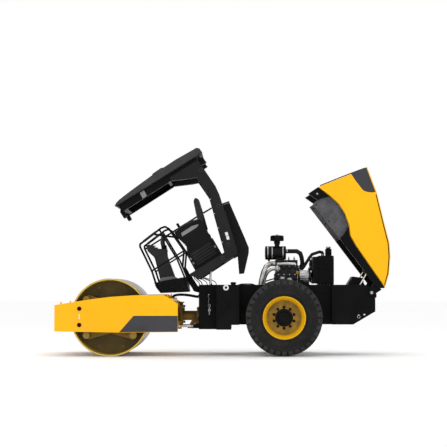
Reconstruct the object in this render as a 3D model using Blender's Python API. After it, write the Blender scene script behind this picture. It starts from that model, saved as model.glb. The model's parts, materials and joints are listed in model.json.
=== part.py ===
"""Single-drum road roller: cab platform tilted forward, engine hood raised.

Metres, +Z up, ground at z = 0. +X points to the engine end, -X to the drum, -Y is the machine's left side.
The platform and the hood are drawn in their closed positions, then turned about their hinges to rest.
"""

import math

import bmesh
import bpy
from mathutils import Matrix, Vector

# Gaps and running clearances
SEAT = 0.0003
PIN_PLAY = 0.0007
MOVE = 0.005

# Drum and its frame
DRUM_RADIUS = 0.61
DRUM_HALF = 0.838
DRUM_SKIN = 0.025
DRUM_SIDES = 64
DRUM_X = -1.757
DRUM_Z = DRUM_RADIUS * math.cos(math.pi / DRUM_SIDES)
WEB_Y = 0.56
SPINDLE_RADIUS = 0.09
FRAME_Y = 0.855
FRAME_PLATE = 0.035
NOSE_X = -2.62
NOSE_GAP = 0.093
CROSS_GAP = 0.087
NOSE_IN_X = DRUM_X - DRUM_RADIUS - NOSE_GAP
CROSS_IN_X = DRUM_X + DRUM_RADIUS + CROSS_GAP
FRAME_END_X = -0.691
CROSS_X = -0.765

# Articulation
STEER_X = -0.665
STEER_PIN = 0.028
SWIVEL_Z = 0.626
SWIVEL_RADIUS = 0.077
LUG_LOW_Z = 0.505
LUG_TOP_Z = 0.76
LUG_THICK = 0.035

# Wheels
TYRE_RADIUS = 0.605
TYRE_SIDES = 48
TYRE_IN_Y = 0.551
TYRE_OUT_Y = 0.929
RIM_RADIUS = 0.3375
DISC_Y = 0.70
HUB_RADIUS = 0.105
WHEEL_X = 0.972
WHEEL_Z = TYRE_RADIUS * math.cos(math.pi / TYRE_SIDES)

# Rear frame
CHASSIS_X0 = -0.375
CHASSIS_X1 = 1.737
CHASSIS_Z1 = 1.122
CHASSIS_Z0 = 0.414
CHASSIS_Y = 0.40
CHASSIS_PLATE = 0.03
ARCH_Z = 0.73
TANK_X0 = -0.0917
TANK_X1 = 0.27
TANK_Y = 0.68
TAIL_X1 = 2.422
TAIL_Y = 0.54

# Platform, drawn lowered
TILT = Vector((-0.425, 0.0, 1.052))
TILT_DEGREES = 32.0
POST_Y0 = 0.62
POST_Y1 = 0.74
DECK_Z = 1.30
DECK_PLATE = 0.03
TOE_FRONT = (-0.890, 1.468)
TOE_REAR = (-0.441, 1.295)
TOE_Y = 0.58
RAIL_RADIUS = 0.016
ROOF_Y = 0.78
ROOF_Z = 2.81
WHEEL_HUB = Vector((-0.425, 0.0, 2.0605))
WHEEL_TILT = Vector((0.64, 0.0, 0.768)).normalized()
CHEEK_Y0 = 0.42
CHEEK_Y1 = 0.50

# Hood, drawn closed
HOOD = Vector((2.359, 0.0, 0.997))
HOOD_DEGREES = 52.0
HOOD_Y = 0.61
HOOD_SKIN = 0.02
LINER_Y = 0.525
LINER_PLATE = 0.02
HINGE_PIN = 0.02

# Cylinders: base eye and rod eye as (x, y, z), then bore and lengths
STEER_BASE = (-0.105, 0.26, 0.46)
STEER_EYE = (-0.700, 0.20, 0.46)
LIFT_BASE = (-0.20, -0.20, 0.66)
LIFT_EYE = (-0.06, -0.20, 1.19)
STRUT_BASE = (1.95, 0.47, 0.72)
STRUT_EYE = (2.06, 0.47, 1.18)


def clear_scene():
    for thing in list(bpy.data.objects):
        bpy.data.objects.remove(thing)


def paint(name, colour, roughness, metallic=0.0):
    made = bpy.data.materials.new(name)
    made.use_nodes = True
    shader = made.node_tree.nodes["Principled BSDF"]
    shader.inputs["Base Color"].default_value = (*colour, 1.0)
    shader.inputs["Roughness"].default_value = roughness
    shader.inputs["Metallic"].default_value = metallic
    return made


clear_scene()
YELLOW = paint("yellow_paint", (0.95, 0.55, 0.01), 0.35)
BLACK = paint("black_paint", (0.015, 0.015, 0.017), 0.45)
GREY = paint("dark_grey_paint", (0.07, 0.07, 0.07), 0.5)
PLASTIC = paint("grey_plastic", (0.12, 0.12, 0.12), 0.6)
RUBBER = paint("tyre_rubber", (0.02, 0.02, 0.02), 0.8)
VINYL = paint("seat_vinyl", (0.03, 0.03, 0.03), 0.6)
STEEL = paint("bare_steel", (0.35, 0.33, 0.30), 0.35, 1.0)
BRIGHT = paint("bright_steel", (0.75, 0.75, 0.75), 0.15, 1.0)
CAST = paint("cast_iron", (0.05, 0.05, 0.05), 0.6, 0.6)


def finish_mesh(name, shape, colour, smooth):
    bmesh.ops.recalc_face_normals(shape, faces=shape.faces)
    mesh = bpy.data.meshes.new(name)
    shape.to_mesh(mesh)
    shape.free()
    mesh.materials.append(colour)
    mesh.polygons.foreach_set("use_smooth", [smooth] * len(mesh.polygons))
    if smooth:
        mesh.set_sharp_from_angle(angle=math.radians(35))
    made = bpy.data.objects.new(name, mesh)
    bpy.context.scene.collection.objects.link(made)
    return made


def place(across, first, second, along):
    """The point whose coordinates in the drawing plane are first and second."""
    if across == "x":
        return Vector((along, first, second))
    if across == "y":
        return Vector((first, along, second))
    return Vector((first, second, along))


def plate(name, outline, low, high, colour, across="y"):
    """An outline drawn square to the axis across, pushed from low to high."""
    shape = bmesh.new()
    near = [shape.verts.new(place(across, a, b, low)) for a, b in outline]
    far = [shape.verts.new(place(across, a, b, high)) for a, b in outline]
    shape.faces.new(near)
    shape.faces.new(reversed(far))
    for i in range(len(outline)):
        j = (i + 1) % len(outline)
        shape.faces.new((near[i], near[j], far[j], far[i]))
    return finish_mesh(name, shape, colour, False)


def block(name, xs, ys, zs, colour):
    (x0, x1), (z0, z1) = xs, zs
    return plate(name, [(x0, z0), (x1, z0), (x1, z1), (x0, z1)], ys[0], ys[1], colour)


def turned(name, centre, axis, profile, colour, sides=24):
    """A closed profile of (along, radius) points turned about an axis through the centre."""
    turn = Vector(axis).to_track_quat("Z", "Y").to_matrix()
    shape = bmesh.new()
    rings = []
    for i in range(sides):
        angle = 2 * math.pi * (i + 0.5) / sides
        rings.append([])
        for along, radius in profile:
            spot = Vector((radius * math.cos(angle), radius * math.sin(angle), along))
            rings[i].append(shape.verts.new(Vector(centre) + turn @ spot))
    count = len(profile)
    for i in range(sides):
        here, there = rings[i], rings[(i + 1) % sides]
        for j in range(count):
            k = (j + 1) % count
            if profile[j][1] or profile[k][1]:
                shape.faces.new((here[j], there[j], there[k], here[k]))
    bmesh.ops.remove_doubles(shape, verts=shape.verts, dist=0.00001)
    return finish_mesh(name, shape, colour, True)


def bar(name, start, end, radius, colour, sides=16):
    """A round bar with flat ends between two points."""
    start, end = Vector(start), Vector(end)
    length = (end - start).length
    profile = [(0.0, 0.0), (0.0, radius), (length, radius), (length, 0.0)]
    return turned(name, start, end - start, profile, colour, sides)


def tube(name, points, radius, colour, sides=10):
    """A round bar along a path, mitred at each bend."""
    points = [Vector(p) for p in points]
    shape = bmesh.new()
    first = (points[1] - points[0]).normalized()
    side = first.orthogonal().normalized()
    up = first.cross(side)
    ring = []
    for i in range(sides):
        angle = 2 * math.pi * i / sides
        ring.append(points[0] + radius * (math.cos(angle) * side + math.sin(angle) * up))
    rings = [[shape.verts.new(p) for p in ring]]
    for i in range(1, len(points)):
        here = (points[i] - points[i - 1]).normalized()
        last = i == len(points) - 1
        after = here if last else (points[i + 1] - points[i]).normalized()
        normal = (here + after).normalized()
        ring = [p + here * ((points[i] - p).dot(normal) / here.dot(normal)) for p in ring]
        rings.append([shape.verts.new(p) for p in ring])
    for a, b in zip(rings, rings[1:]):
        for i in range(sides):
            j = (i + 1) % sides
            shape.faces.new((a[i], a[j], b[j], b[i]))
    shape.faces.new(rings[0])
    shape.faces.new(reversed(rings[-1]))
    return finish_mesh(name, shape, colour, True)


def combine(base, others, operation):
    """Joins the others to the base, or cuts them from it, and removes them."""
    for other in others:
        step = base.modifiers.new("step", "BOOLEAN")
        step.operation = operation
        step.object = other
        step.solver = "MANIFOLD"
    bpy.context.view_layer.update()
    graph = bpy.context.evaluated_depsgraph_get()
    shape = bpy.data.meshes.new_from_object(base.evaluated_get(graph))
    base.modifiers.clear()
    base.data = shape
    for other in others:
        bpy.data.objects.remove(other)
    return base


def join(base, *others):
    return combine(base, others, "UNION")


def cut(base, *others):
    return combine(base, others, "DIFFERENCE")


def hang(name, position, things, degrees=0.0):
    """Puts the things under an empty on their joint axis, then turns it about Y."""
    axis = bpy.data.objects.new(name, None)
    bpy.context.scene.collection.objects.link(axis)
    axis.location = position
    bpy.context.view_layer.update()
    back = Matrix.Translation(Vector(position)).inverted()
    for thing in things:
        thing.parent = axis
        thing.matrix_parent_inverse = back
    axis.rotation_euler.y = math.radians(degrees)
    return axis


def turn_about(point, pivot, degrees):
    """Where a point ends when its hinge turns by degrees about Y."""
    turn = Matrix.Rotation(math.radians(degrees), 3, "Y")
    return pivot + turn @ (Vector(point) - pivot)


def toe_height(x):
    slope = (TOE_REAR[1] - TOE_FRONT[1]) / (TOE_REAR[0] - TOE_FRONT[0])
    return TOE_FRONT[1] + (x - TOE_FRONT[0]) * slope


# Drum and front frame


def build_drum():
    web = 0.03
    profile = [(-DRUM_HALF, DRUM_RADIUS), (DRUM_HALF, DRUM_RADIUS)]
    inner = DRUM_RADIUS - DRUM_SKIN
    bore = SPINDLE_RADIUS + PIN_PLAY
    profile += [(DRUM_HALF, inner), (WEB_Y, inner), (WEB_Y, bore), (WEB_Y - web, bore)]
    profile += [(WEB_Y - web, inner), (web - WEB_Y, inner), (web - WEB_Y, bore)]
    profile += [(-WEB_Y, bore), (-WEB_Y, inner), (-DRUM_HALF, inner)]
    drum = turned("drum_shell", (DRUM_X, 0, DRUM_Z), (0, 1, 0), profile, STEEL, DRUM_SIDES)
    holes = []
    for i in range(4):
        angle = math.radians(45 + 90 * i)
        x = DRUM_X + 0.36 * math.cos(angle)
        z = DRUM_Z + 0.36 * math.sin(angle)
        holes.append(bar("hole", (x, -0.7, z), (x, 0.7, z), 0.08, STEEL))
    cut(drum, *holes)
    hang("drum_axis", (DRUM_X, 0, DRUM_Z), [drum])


def build_drum_supports():
    made = []
    for side, word in ((-1, "left"), (1, "right")):
        outer = FRAME_Y - SEAT
        profile = [(0.50, 0.0), (0.50, SPINDLE_RADIUS), (WEB_Y + 0.06, SPINDLE_RADIUS)]
        profile += [(WEB_Y + 0.06, 0.22), (outer, 0.22), (outer, 0.0)]
        centre = (DRUM_X, 0, DRUM_Z)
        name = "drum_support_" + word
        made.append(turned(name, centre, (0, side, 0), profile, YELLOW, 32))
    return made


def build_drum_frame():
    outline = [(NOSE_X, 0.393), (-1.613, 0.375), (FRAME_END_X, 0.383)]
    outline += [(FRAME_END_X, 0.826), (-0.915, 0.963), (-1.367, 0.957)]
    outline += [(-1.738, 0.933), (-2.051, 0.895), (NOSE_X, 0.804)]
    outer = FRAME_Y + FRAME_PLATE
    frame = plate("drum_frame", outline, -outer, -FRAME_Y, YELLOW)
    right = plate("right", outline, FRAME_Y, outer, YELLOW)
    overlap = FRAME_Y + 0.01
    nose_x, cross_x = (NOSE_X, NOSE_IN_X), (CROSS_IN_X, CROSS_X)
    nose = block("nose", nose_x, (-overlap, overlap), (0.42, 0.78), YELLOW)
    cross = block("cross", cross_x, (-overlap, overlap), (0.45, 0.90), YELLOW)
    return join(frame, right, nose, cross)


def build_scrapers():
    reach = DRUM_RADIUS + 0.012
    half = DRUM_HALF - 0.01
    z = 0.56
    fall = math.sqrt(reach * reach - (DRUM_Z - z) ** 2)
    front = block(
        "scraper_front",
        (NOSE_IN_X + SEAT, DRUM_X - fall),
        (-half, half),
        (z - 0.03, z + 0.03),
        BLACK,
    )
    rear = block(
        "scraper_rear",
        (DRUM_X + fall, CROSS_IN_X - SEAT),
        (-half, half),
        (z - 0.03, z + 0.03),
        BLACK,
    )
    return [front, rear]


def build_yoke():
    wall = CROSS_X + SEAT
    back = block("pivot_yoke", (wall, CROSS_X + 0.025), (-0.25, 0.25), (0.50, 0.85), YELLOW)
    pieces = []
    for low in (LUG_LOW_Z, LUG_TOP_Z):
        high = low + LUG_THICK
        flat = [(wall, -0.16), (STEER_X, -0.065), (STEER_X, 0.065), (wall, 0.16)]
        pieces.append(plate("lug", flat, low, high, YELLOW, "z"))
        pieces.append(bar("end", (STEER_X, 0, low), (STEER_X, 0, high), 0.065, YELLOW, 24))
    pieces.append(bar("pin", (STEER_X, 0, 0.47), (STEER_X, 0, 0.83), STEER_PIN, YELLOW, 24))
    for side in (-1, 1):
        x, y, z = STEER_EYE[0], side * STEER_EYE[1], LUG_LOW_Z
        flat = [(wall, y - 0.05), (x, y - 0.035), (x + 0.03, y)]
        flat += [(x, y + 0.035), (wall, y + 0.05)]
        pieces.append(plate("ear", flat, z, z + LUG_THICK, YELLOW, "z"))
    return join(back, *pieces)


def build_front_body():
    made = [build_drum_frame(), build_yoke()]
    made += build_drum_supports()
    made += build_scrapers()
    hang("steering_axis", (STEER_X, 0, SWIVEL_Z), made)


# Rear frame and what it carries


def build_rear_frame():
    side = [(CHASSIS_X0, CHASSIS_Z0), (0.144, CHASSIS_Z0), (0.144, 0.489), (0.76, 0.489)]
    side += [(0.82, ARCH_Z), (1.124, ARCH_Z), (1.18, 0.493)]
    side += [(CHASSIS_X1, 0.493), (CHASSIS_X1, CHASSIS_Z1), (CHASSIS_X0, CHASSIS_Z1)]
    frame = plate("rear_frame", side, -CHASSIS_Y, CHASSIS_Y, BLACK)
    inner = CHASSIS_Y - CHASSIS_PLATE
    bay_x0 = 0.33
    room = (-inner, inner)
    bay_x = (CHASSIS_X0 + CHASSIS_PLATE, bay_x0 - CHASSIS_PLATE)
    front_bay = block("bay", bay_x, room, (0.56, 1.3), BLACK)
    under = block("under", (CHASSIS_X0 - 0.1, 0.20), room, (0.3, 0.53), BLACK)
    engine_bay = block("engine", (bay_x0, CHASSIS_X1 - 0.04), room, (0.3, 1.3), BLACK)
    cut(frame, front_bay, under, engine_bay)
    pieces = []
    for y in (-1, 1):
        ear = [(-0.345, 0.99), (-0.345, 1.10), (-0.44, 1.10), (-0.468, 1.07)]
        ear += [(-0.468, 1.03), (-0.44, 1.01)]
        low, high = sorted((y * 0.30, y * 0.34))
        pieces.append(plate("ear", ear, low, high, BLACK))
        pin = (TILT.x, y * 0.31, TILT.z), (TILT.x, y * 0.385, TILT.z)
        pieces.append(bar("pin", *pin, 0.018, BLACK, 24))
        low, high = sorted((y * 0.39, y * 0.51))
        pieces.append(block("rest", (0.295, 0.35), (low, high), (0.79, 0.845), BLACK))
        x, base, z = STEER_BASE
        base_pin = (x, y * base, z - 0.02), (x, y * base, 0.54)
        pieces.append(bar("base", *base_pin, 0.014, BLACK, 24))
    x, y, z = LIFT_BASE
    ear_y = (y + 0.038, y + 0.056)
    pieces.append(block("ear", (x - 0.03, x + 0.03), ear_y, (0.55, z + 0.03), BLACK))
    pieces.append(bar("pin", (x, y - 0.018, z), (x, y + 0.045, z), 0.012, BLACK, 24))
    return join(frame, *pieces)


def build_tanks():
    outline = [(TANK_X0, CHASSIS_Z0), (0.144, CHASSIS_Z0), (0.144, 0.489), (TANK_X1, 0.489)]
    outline += [(TANK_X1, CHASSIS_Z1), (TANK_X0, CHASSIS_Z1)]
    inner = CHASSIS_Y + SEAT
    left = plate("hydraulic_tank", outline, -TANK_Y, -inner, BLACK)
    right = plate("fuel_tank", outline, inner, TANK_Y, BLACK)
    return [left, right]


def build_tail():
    x0 = CHASSIS_X1 + SEAT
    outline = [(x0, 0.493), (2.071, 0.493), (TAIL_X1, 0.699), (TAIL_X1, 1.04)]
    outline += [(2.36, 1.085), (2.25, CHASSIS_Z1), (x0, CHASSIS_Z1)]
    tail = plate("tail_frame", outline, -TAIL_Y, TAIL_Y, BLACK)
    room = TAIL_Y - 0.03
    well = block("well", (x0 + 0.03, 2.30), (-room, room), (0.64, 1.3), BLACK)
    cut(tail, well)
    pieces = []
    for y in (-1, 1):
        pin = (HOOD.x, y * (TAIL_Y - 0.02), HOOD.z), (HOOD.x, y * 0.60, HOOD.z)
        pieces.append(bar("pin", *pin, HINGE_PIN, BLACK, 24))
        x, base, z = STRUT_BASE
        ear = (x, y * (base - 0.018), z), (x, y * (room + 0.01), z)
        pieces.append(bar("strut_pin", *ear, 0.010, BLACK, 24))
    join(tail, *pieces)
    stand = [(1.99, 0.64 + SEAT), (2.27, 0.64 + SEAT), (2.27, 1.12), (2.253, 1.232)]
    stand += [(2.089, 1.255), (2.010, 1.129), (1.99, 1.10)]
    box = plate("battery_box", stand, -0.24, 0.24, BLACK)
    return [tail, box]


def build_axle():
    end = TYRE_IN_Y - 0.03
    axle = bar("rear_axle", (WHEEL_X, -end, WHEEL_Z), (WHEEL_X, end, WHEEL_Z), 0.075, BLACK, 24)
    middle = [(0.85, 0.50), (0.92, 0.45), (1.03, 0.45), (1.09, 0.50)]
    middle += [(1.09, 0.68), (1.04, 0.72), (0.90, 0.72), (0.85, 0.68)]
    pieces = [plate("middle", middle, -0.15, 0.15, BLACK)]
    for y in (-1, 1):
        low, high = sorted((y * (CHASSIS_Y - 0.07), y * (CHASSIS_Y + 0.01)))
        pieces.append(block("pad", (0.86, 1.084), (low, high), (0.56, ARCH_Z - SEAT), BLACK))
        inner, outer = (y * (end - 0.01)), y * (DISC_Y - 0.105)
        drum = (WHEEL_X, inner, WHEEL_Z), (WHEEL_X, outer, WHEEL_Z)
        pieces.append(bar("brake", *drum, 0.15, BLACK, 24))
        tip = (WHEEL_X, outer - y * 0.01, WHEEL_Z), (WHEEL_X, y * (DISC_Y + 0.02), WHEEL_Z)
        pieces.append(bar("stub", *tip, 0.05, BLACK, 24))
    return join(axle, *pieces)


def build_wheel(side, word):
    centre = (WHEEL_X, 0, WHEEL_Z)
    out = (0, side, 0)
    bead = RIM_RADIUS + SEAT * 1.5
    profile = [(TYRE_IN_Y + 0.035, bead), (TYRE_IN_Y, 0.42), (TYRE_IN_Y + 0.01, 0.52)]
    profile += [(TYRE_IN_Y + 0.05, 0.585), (0.66, TYRE_RADIUS), (0.82, TYRE_RADIUS)]
    profile += [(TYRE_OUT_Y - 0.05, 0.585), (TYRE_OUT_Y - 0.01, 0.52), (TYRE_OUT_Y, 0.42)]
    profile += [(TYRE_OUT_Y - 0.035, bead)]
    tyre = turned("tyre_" + word, centre, out, profile, RUBBER, TYRE_SIDES)
    disc = DISC_Y
    bore = HUB_RADIUS + SEAT * 2
    well = RIM_RADIUS - 0.0625
    profile = [(0.60, RIM_RADIUS), (0.89, RIM_RADIUS), (0.89, RIM_RADIUS - 0.0125), (0.80, well)]
    profile += [(disc + 0.015, well - 0.005), (disc + 0.015, bore), (disc, bore), (disc, well)]
    profile += [(0.60, RIM_RADIUS - 0.0225)]
    rim = turned("rim_" + word, centre, out, profile, YELLOW, TYRE_SIDES)
    stub = 0.05 + PIN_PLAY
    flange = disc - SEAT
    profile = [(disc - 0.10, stub), (disc - 0.10, 0.165), (flange, 0.165), (flange, HUB_RADIUS)]
    profile += [(0.80, HUB_RADIUS), (0.82, 0.08), (0.82, 0.0), (disc + 0.03, 0.0)]
    profile += [(disc + 0.03, stub)]
    hub = turned("hub_" + word, centre, out, profile, BLACK, 24)
    hang("wheel_axis_" + word, centre, [tyre, rim, hub])


def build_engine():
    block_x = (0.835, 1.224)
    engine = block("engine", block_x, (-0.22, 0.22), (0.78, 1.30), CAST)
    head = block("head", (0.85, 1.21), (-0.15, 0.15), (1.29, 1.521), CAST)
    pump = bar("pump", (0.55, 0, 0.95), (0.84, 0, 0.95), 0.17, CAST, 24)
    pulley = bar("pulley", (1.22, 0, 1.10), (1.38, 0, 1.10), 0.09, CAST, 24)
    alternator = bar("alternator", (1.22, -0.19, 1.27), (1.40, -0.19, 1.27), 0.075, CAST, 24)
    pieces = [head, pump, pulley, alternator]
    inner = CHASSIS_Y - CHASSIS_PLATE - SEAT
    for x in (0.87, 1.13):
        pieces.append(block("foot", (x, x + 0.06), (-inner, inner), (0.90, 1.00), CAST))
    return join(engine, *pieces)


def build_intake():
    z = 1.636
    cleaner = bar("air_cleaner", (0.702, 0, z), (1.026, 0, z), 0.11, BLACK, 24)
    saddle = block("saddle", (0.87, 0.99), (-0.08, 0.08), (1.521 + SEAT, z), BLACK)
    stem = bar("stem", (0.883, 0, z), (0.883, 0, 1.84), 0.04, BLACK)
    cap = bar("cap", (0.883, 0, 1.829), (0.883, 0, 1.910), 0.105, BLACK, 24)
    join(cleaner, saddle, stem, cap)
    path = [(1.026 + SEAT, 0, 1.664), (1.20, 0, 1.664), (1.258, 0, 1.63), (1.280, 0, 1.565)]
    path += [(1.292, 0, 1.48), (1.282, 0, 1.42), (1.25, 0, 1.40), (1.21 + SEAT, 0, 1.40)]
    hose = tube("intake_hose", path, 0.0355, RUBBER, 12)
    pipe = [(0.603, -0.25, 1.00), (0.62, -0.25, 1.18), (0.66, -0.25, 1.33), (0.70, -0.21, 1.41)]
    pipe += [(0.76, -0.14, 1.455), (0.80, -0.11, 1.46), (0.85 - SEAT, -0.11, 1.46)]
    exhaust = tube("exhaust_pipe", pipe, 0.04, BRIGHT, 12)
    return [cleaner, hose, exhaust]


def build_radiator():
    low = CHASSIS_Z1 + SEAT
    radiator = block("radiator", (1.54, 1.78), (-0.33, 0.33), (low, 1.586), BLACK)
    filler = block("filler", (1.664, 1.76), (-0.10, 0.10), (1.58, 1.70), BLACK)
    cap = bar("cap", (1.712, 0, 1.69), (1.712, 0, 1.724), 0.035, BLACK)
    shroud = [(-0.31, 1.14), (0.31, 1.14), (0.31, 1.57), (-0.31, 1.57)]
    guard = plate("guard", shroud, 1.45, 1.55, GREY, "x")
    join(radiator, filler, cap, guard)
    path = [(1.21 + SEAT, -0.08, 1.35), (1.26, -0.08, 1.35), (1.31, -0.12, 1.41)]
    path += [(1.40, -0.2, 1.56), (1.44, -0.2, 1.61), (1.56, -0.2, 1.65)]
    path += [(1.60, -0.2, 1.64), (1.61, -0.2, 1.62), (1.61, -0.2, 1.586 + SEAT)]
    hose = tube("radiator_hose", path, 0.025, RUBBER, 10)
    return [radiator, hose]


def build_centre_joint():
    low = LUG_LOW_Z + LUG_THICK + MOVE
    high = LUG_TOP_Z - MOVE
    joint = bar("centre_joint", (STEER_X, 0, low), (STEER_X, 0, high), 0.055, YELLOW, 24)
    wall = CHASSIS_X0 - SEAT
    swivel = bar("swivel", (-0.63, 0, SWIVEL_Z), (-0.39, 0, SWIVEL_Z), SWIVEL_RADIUS, YELLOW, 24)
    flange = bar("flange", (-0.41, 0, SWIVEL_Z), (wall, 0, SWIVEL_Z), 0.14, YELLOW, 24)
    web = [(-0.57, 0.42), (-0.38, 0.42), (-0.38, 0.60), (-0.47, 0.60)]
    gusset = plate("gusset", web, -0.025, 0.025, YELLOW)
    join(joint, swivel, flange, gusset)
    bore = (STEER_X, 0, low - 0.1), (STEER_X, 0, high + 0.1)
    return cut(joint, bar("bore", *bore, STEER_PIN + PIN_PLAY, YELLOW, 24))


# Cylinders


def build_cylinder(name, base, eye, radius, tube_length, rod_length, pin, gap):
    """A barrel with a ring round its base pin and a blind bore, and a rod with an eye."""
    base, eye = Vector(base), Vector(eye)
    along = (eye - base).normalized()
    across = Vector(pin)
    half = 0.015
    thin = radius * 0.55
    mouth = base + along * tube_length
    barrel = bar(name + "_barrel", base + along * 0.016, mouth, radius, GREY)
    ring = bar("ring", base - across * half, base + across * half, 0.028, GREY, 24)
    join(barrel, ring)
    bore = bar("bore", base + along * 0.045, mouth + along * 0.1, thin + PIN_PLAY, GREY)
    socket = bar("socket", base - across * 0.1, base + across * 0.1, gap, GREY, 24)
    cut(barrel, bore, socket)
    rod = bar(name + "_rod", eye - along * rod_length, eye - along * 0.012, thin, BRIGHT)
    join(rod, bar("eye", eye - across * half, eye + across * half, 0.024, BRIGHT, 24))
    cut(rod, bar("hole", eye - across * 0.1, eye + across * 0.1, 0.013, BRIGHT, 16))
    hang(name + "_base_axis", base, [barrel])
    hang(name + "_rod_axis", eye, [rod])


def build_cylinders():
    for side, word in ((-1, "left"), (1, "right")):
        base = (STEER_BASE[0], side * STEER_BASE[1], STEER_BASE[2])
        eye = (STEER_EYE[0], side * STEER_EYE[1], STEER_EYE[2])
        name = "steering_cylinder_" + word
        build_cylinder(name, base, eye, 0.035, 0.39, 0.42, (0, 0, 1), 0.0147)
        base = (STRUT_BASE[0], side * STRUT_BASE[1], STRUT_BASE[2])
        closed = (STRUT_EYE[0], side * STRUT_EYE[1], STRUT_EYE[2])
        eye = turn_about(closed, HOOD, HOOD_DEGREES)
        build_cylinder("hood_strut_" + word, base, eye, 0.020, 0.36, 0.42, (0, 1, 0), 0.0107)
    eye = turn_about(LIFT_EYE, TILT, -TILT_DEGREES)
    build_cylinder("tilt_cylinder", LIFT_BASE, eye, 0.033, 0.42, 0.45, (0, 1, 0), 0.0127)


# Platform


def build_floor():
    inner = POST_Y0 - SEAT
    deck_low = DECK_Z - DECK_PLATE
    deck = block("platform_floor", (-0.375, 0.355), (-inner, inner), (deck_low, DECK_Z), BLACK)
    neck = block("neck", (-0.46, -0.365), (-TOE_Y, TOE_Y), (deck_low, DECK_Z), BLACK)
    box = [TOE_FRONT, (-0.940, 1.405), (-0.925, 1.290), (-0.546, 1.075), (-0.445, 1.275)]
    toe = plate("toe", box + [TOE_REAR], -TOE_Y, TOE_Y, BLACK)
    room = [(-0.885, 1.440), (-0.920, 1.400), (-0.935, 1.20), (-0.56, 1.00), (-0.48, 1.284)]
    under = plate("under", room, -TOE_Y + 0.02, TOE_Y - 0.02, BLACK)
    cut(toe, under)
    join(deck, neck, toe)
    for y in (-1, 1):
        low, high = sorted((y * (0.34 + MOVE), y * 0.375))
        arm = [(-0.455, 1.025), (-0.395, 1.025), (-0.385, 1.05), (-0.385, 1.28), (-0.47, 1.28)]
        ear = plate("ear", arm + [(-0.465, 1.05)], low, high, BLACK)
        hole = (TILT.x, low - 0.1, TILT.z), (TILT.x, high + 0.1, TILT.z)
        cut(ear, bar("hole", *hole, 0.018 + PIN_PLAY, BLACK, 24))
        join(deck, ear)
    x, y, z = LIFT_EYE
    bracket = [(x - 0.03, z + 0.035), (x + 0.03, z + 0.035), (x + 0.03, DECK_Z - 0.01)]
    lift = plate("lift", bracket + [(x - 0.03, DECK_Z - 0.01)], y - 0.03, y + 0.03, BLACK)
    return join(deck, lift)


def build_rops():
    outline = [(-0.382, 1.300), (-0.296, 1.152), (0.437, 1.168), (0.687, 2.110)]
    outline += [(0.706, 2.262), (0.690, 2.760), (0.155, 2.760), (0.155, 2.700)]
    outline += [(0.433, 2.570), (0.525, 2.535), (0.538, 2.225), (0.516, 2.135), (0.268, 1.300)]
    rops = plate("rops_frame", outline, -POST_Y1, -POST_Y0, GREY)
    right = plate("right", outline, POST_Y0, POST_Y1, GREY)
    reach = POST_Y0 + 0.01
    low = block("low", (0.20, 0.36), (-reach, reach), (1.18, 1.27 - SEAT), GREY)
    slope = [(0.50, 1.90), (0.56, 1.885), (0.585, 1.98), (0.525, 1.995)]
    mid = plate("mid", slope, -reach, reach, GREY)
    top = block("top", (0.56, 0.67), (-reach, reach), (2.62, 2.74), GREY)
    return join(rops, right, low, mid, top)


def build_bulkhead():
    face = [(0.36 + SEAT, 1.15), (0.405, 1.15), (0.62, 1.94), (0.62, 1.985)]
    face += [(0.60, 1.985), (0.36 + SEAT, 1.265)]
    cheek = [(0.36 + SEAT, 1.15), (0.426, 1.150), (0.294, 0.892), (0.365, 0.857)]
    cheek += [(0.598, 1.092), (0.642, 1.162), (0.672, 1.342), (0.760, 1.925), (0.60, 1.960)]
    panel = plate("rear_bulkhead", face, -CHEEK_Y1, CHEEK_Y1, BLACK)
    pieces = []
    for y in (-1, 1):
        low, high = sorted((y * CHEEK_Y0, y * CHEEK_Y1))
        pieces.append(plate("cheek", cheek, low, high, BLACK))
    cap = [(0.595, 1.955), (0.600, 1.985), (0.765, 1.950), (0.760, 1.920)]
    pieces.append(plate("cap", cap, -CHEEK_Y1, CHEEK_Y1, BLACK))
    return join(panel, *pieces)


def build_roof():
    outline = [(-0.795, ROOF_Z), (-0.802, 2.835), (-0.760, 2.862), (-0.691, 2.880)]
    outline += [(-0.473, 2.902), (-0.005, 2.936), (0.40, 2.945), (0.768, 2.930)]
    outline += [(0.806, 2.900), (0.811, ROOF_Z)]
    roof = plate("canopy_roof", outline, -ROOF_Y, ROOF_Y, GREY)
    top = 2.76 + SEAT
    rail = [(-0.76, 2.80), (-0.74, 2.690), (0.154, 2.700), (0.1546, top), (0.69, top)]
    rail += [(0.69, ROOF_Z - SEAT), (-0.76, ROOF_Z - SEAT)]
    frame = plate("roof_frame", rail, -POST_Y1, -0.66, BLACK)
    right = plate("right", rail, 0.66, POST_Y1, BLACK)
    front = block("front", (-0.73, -0.67), (-0.67, 0.67), (2.70, ROOF_Z - SEAT), BLACK)
    middle = block("middle", (0.10, 0.15), (-0.67, 0.67), (2.73, ROOF_Z - SEAT), BLACK)
    join(frame, right, front, middle)
    return [roof, frame]


def build_lamps():
    front = block("front_lamps", (-0.78, -0.73 - SEAT), (-0.6, 0.6), (2.715, 2.74), BLACK)
    rear = block("rear_lamps", (0.71, 0.74), (-0.5, 0.5), (2.77, ROOF_Z - SEAT), BLACK)
    front_cans, rear_cans = [], []
    for y in (-1, 1):
        low, high = sorted((y * 0.44, y * 0.60))
        front_cans.append(block("can", (-0.78, -0.735), (low, high), (2.60, 2.73), BLACK))
        low, high = sorted((y * 0.36, y * 0.52))
        rear_cans.append(block("can", (0.70, 0.785), (low, high), (2.67, 2.78), BLACK))
    return [join(front, *front_cans), join(rear, *rear_cans)]


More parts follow.
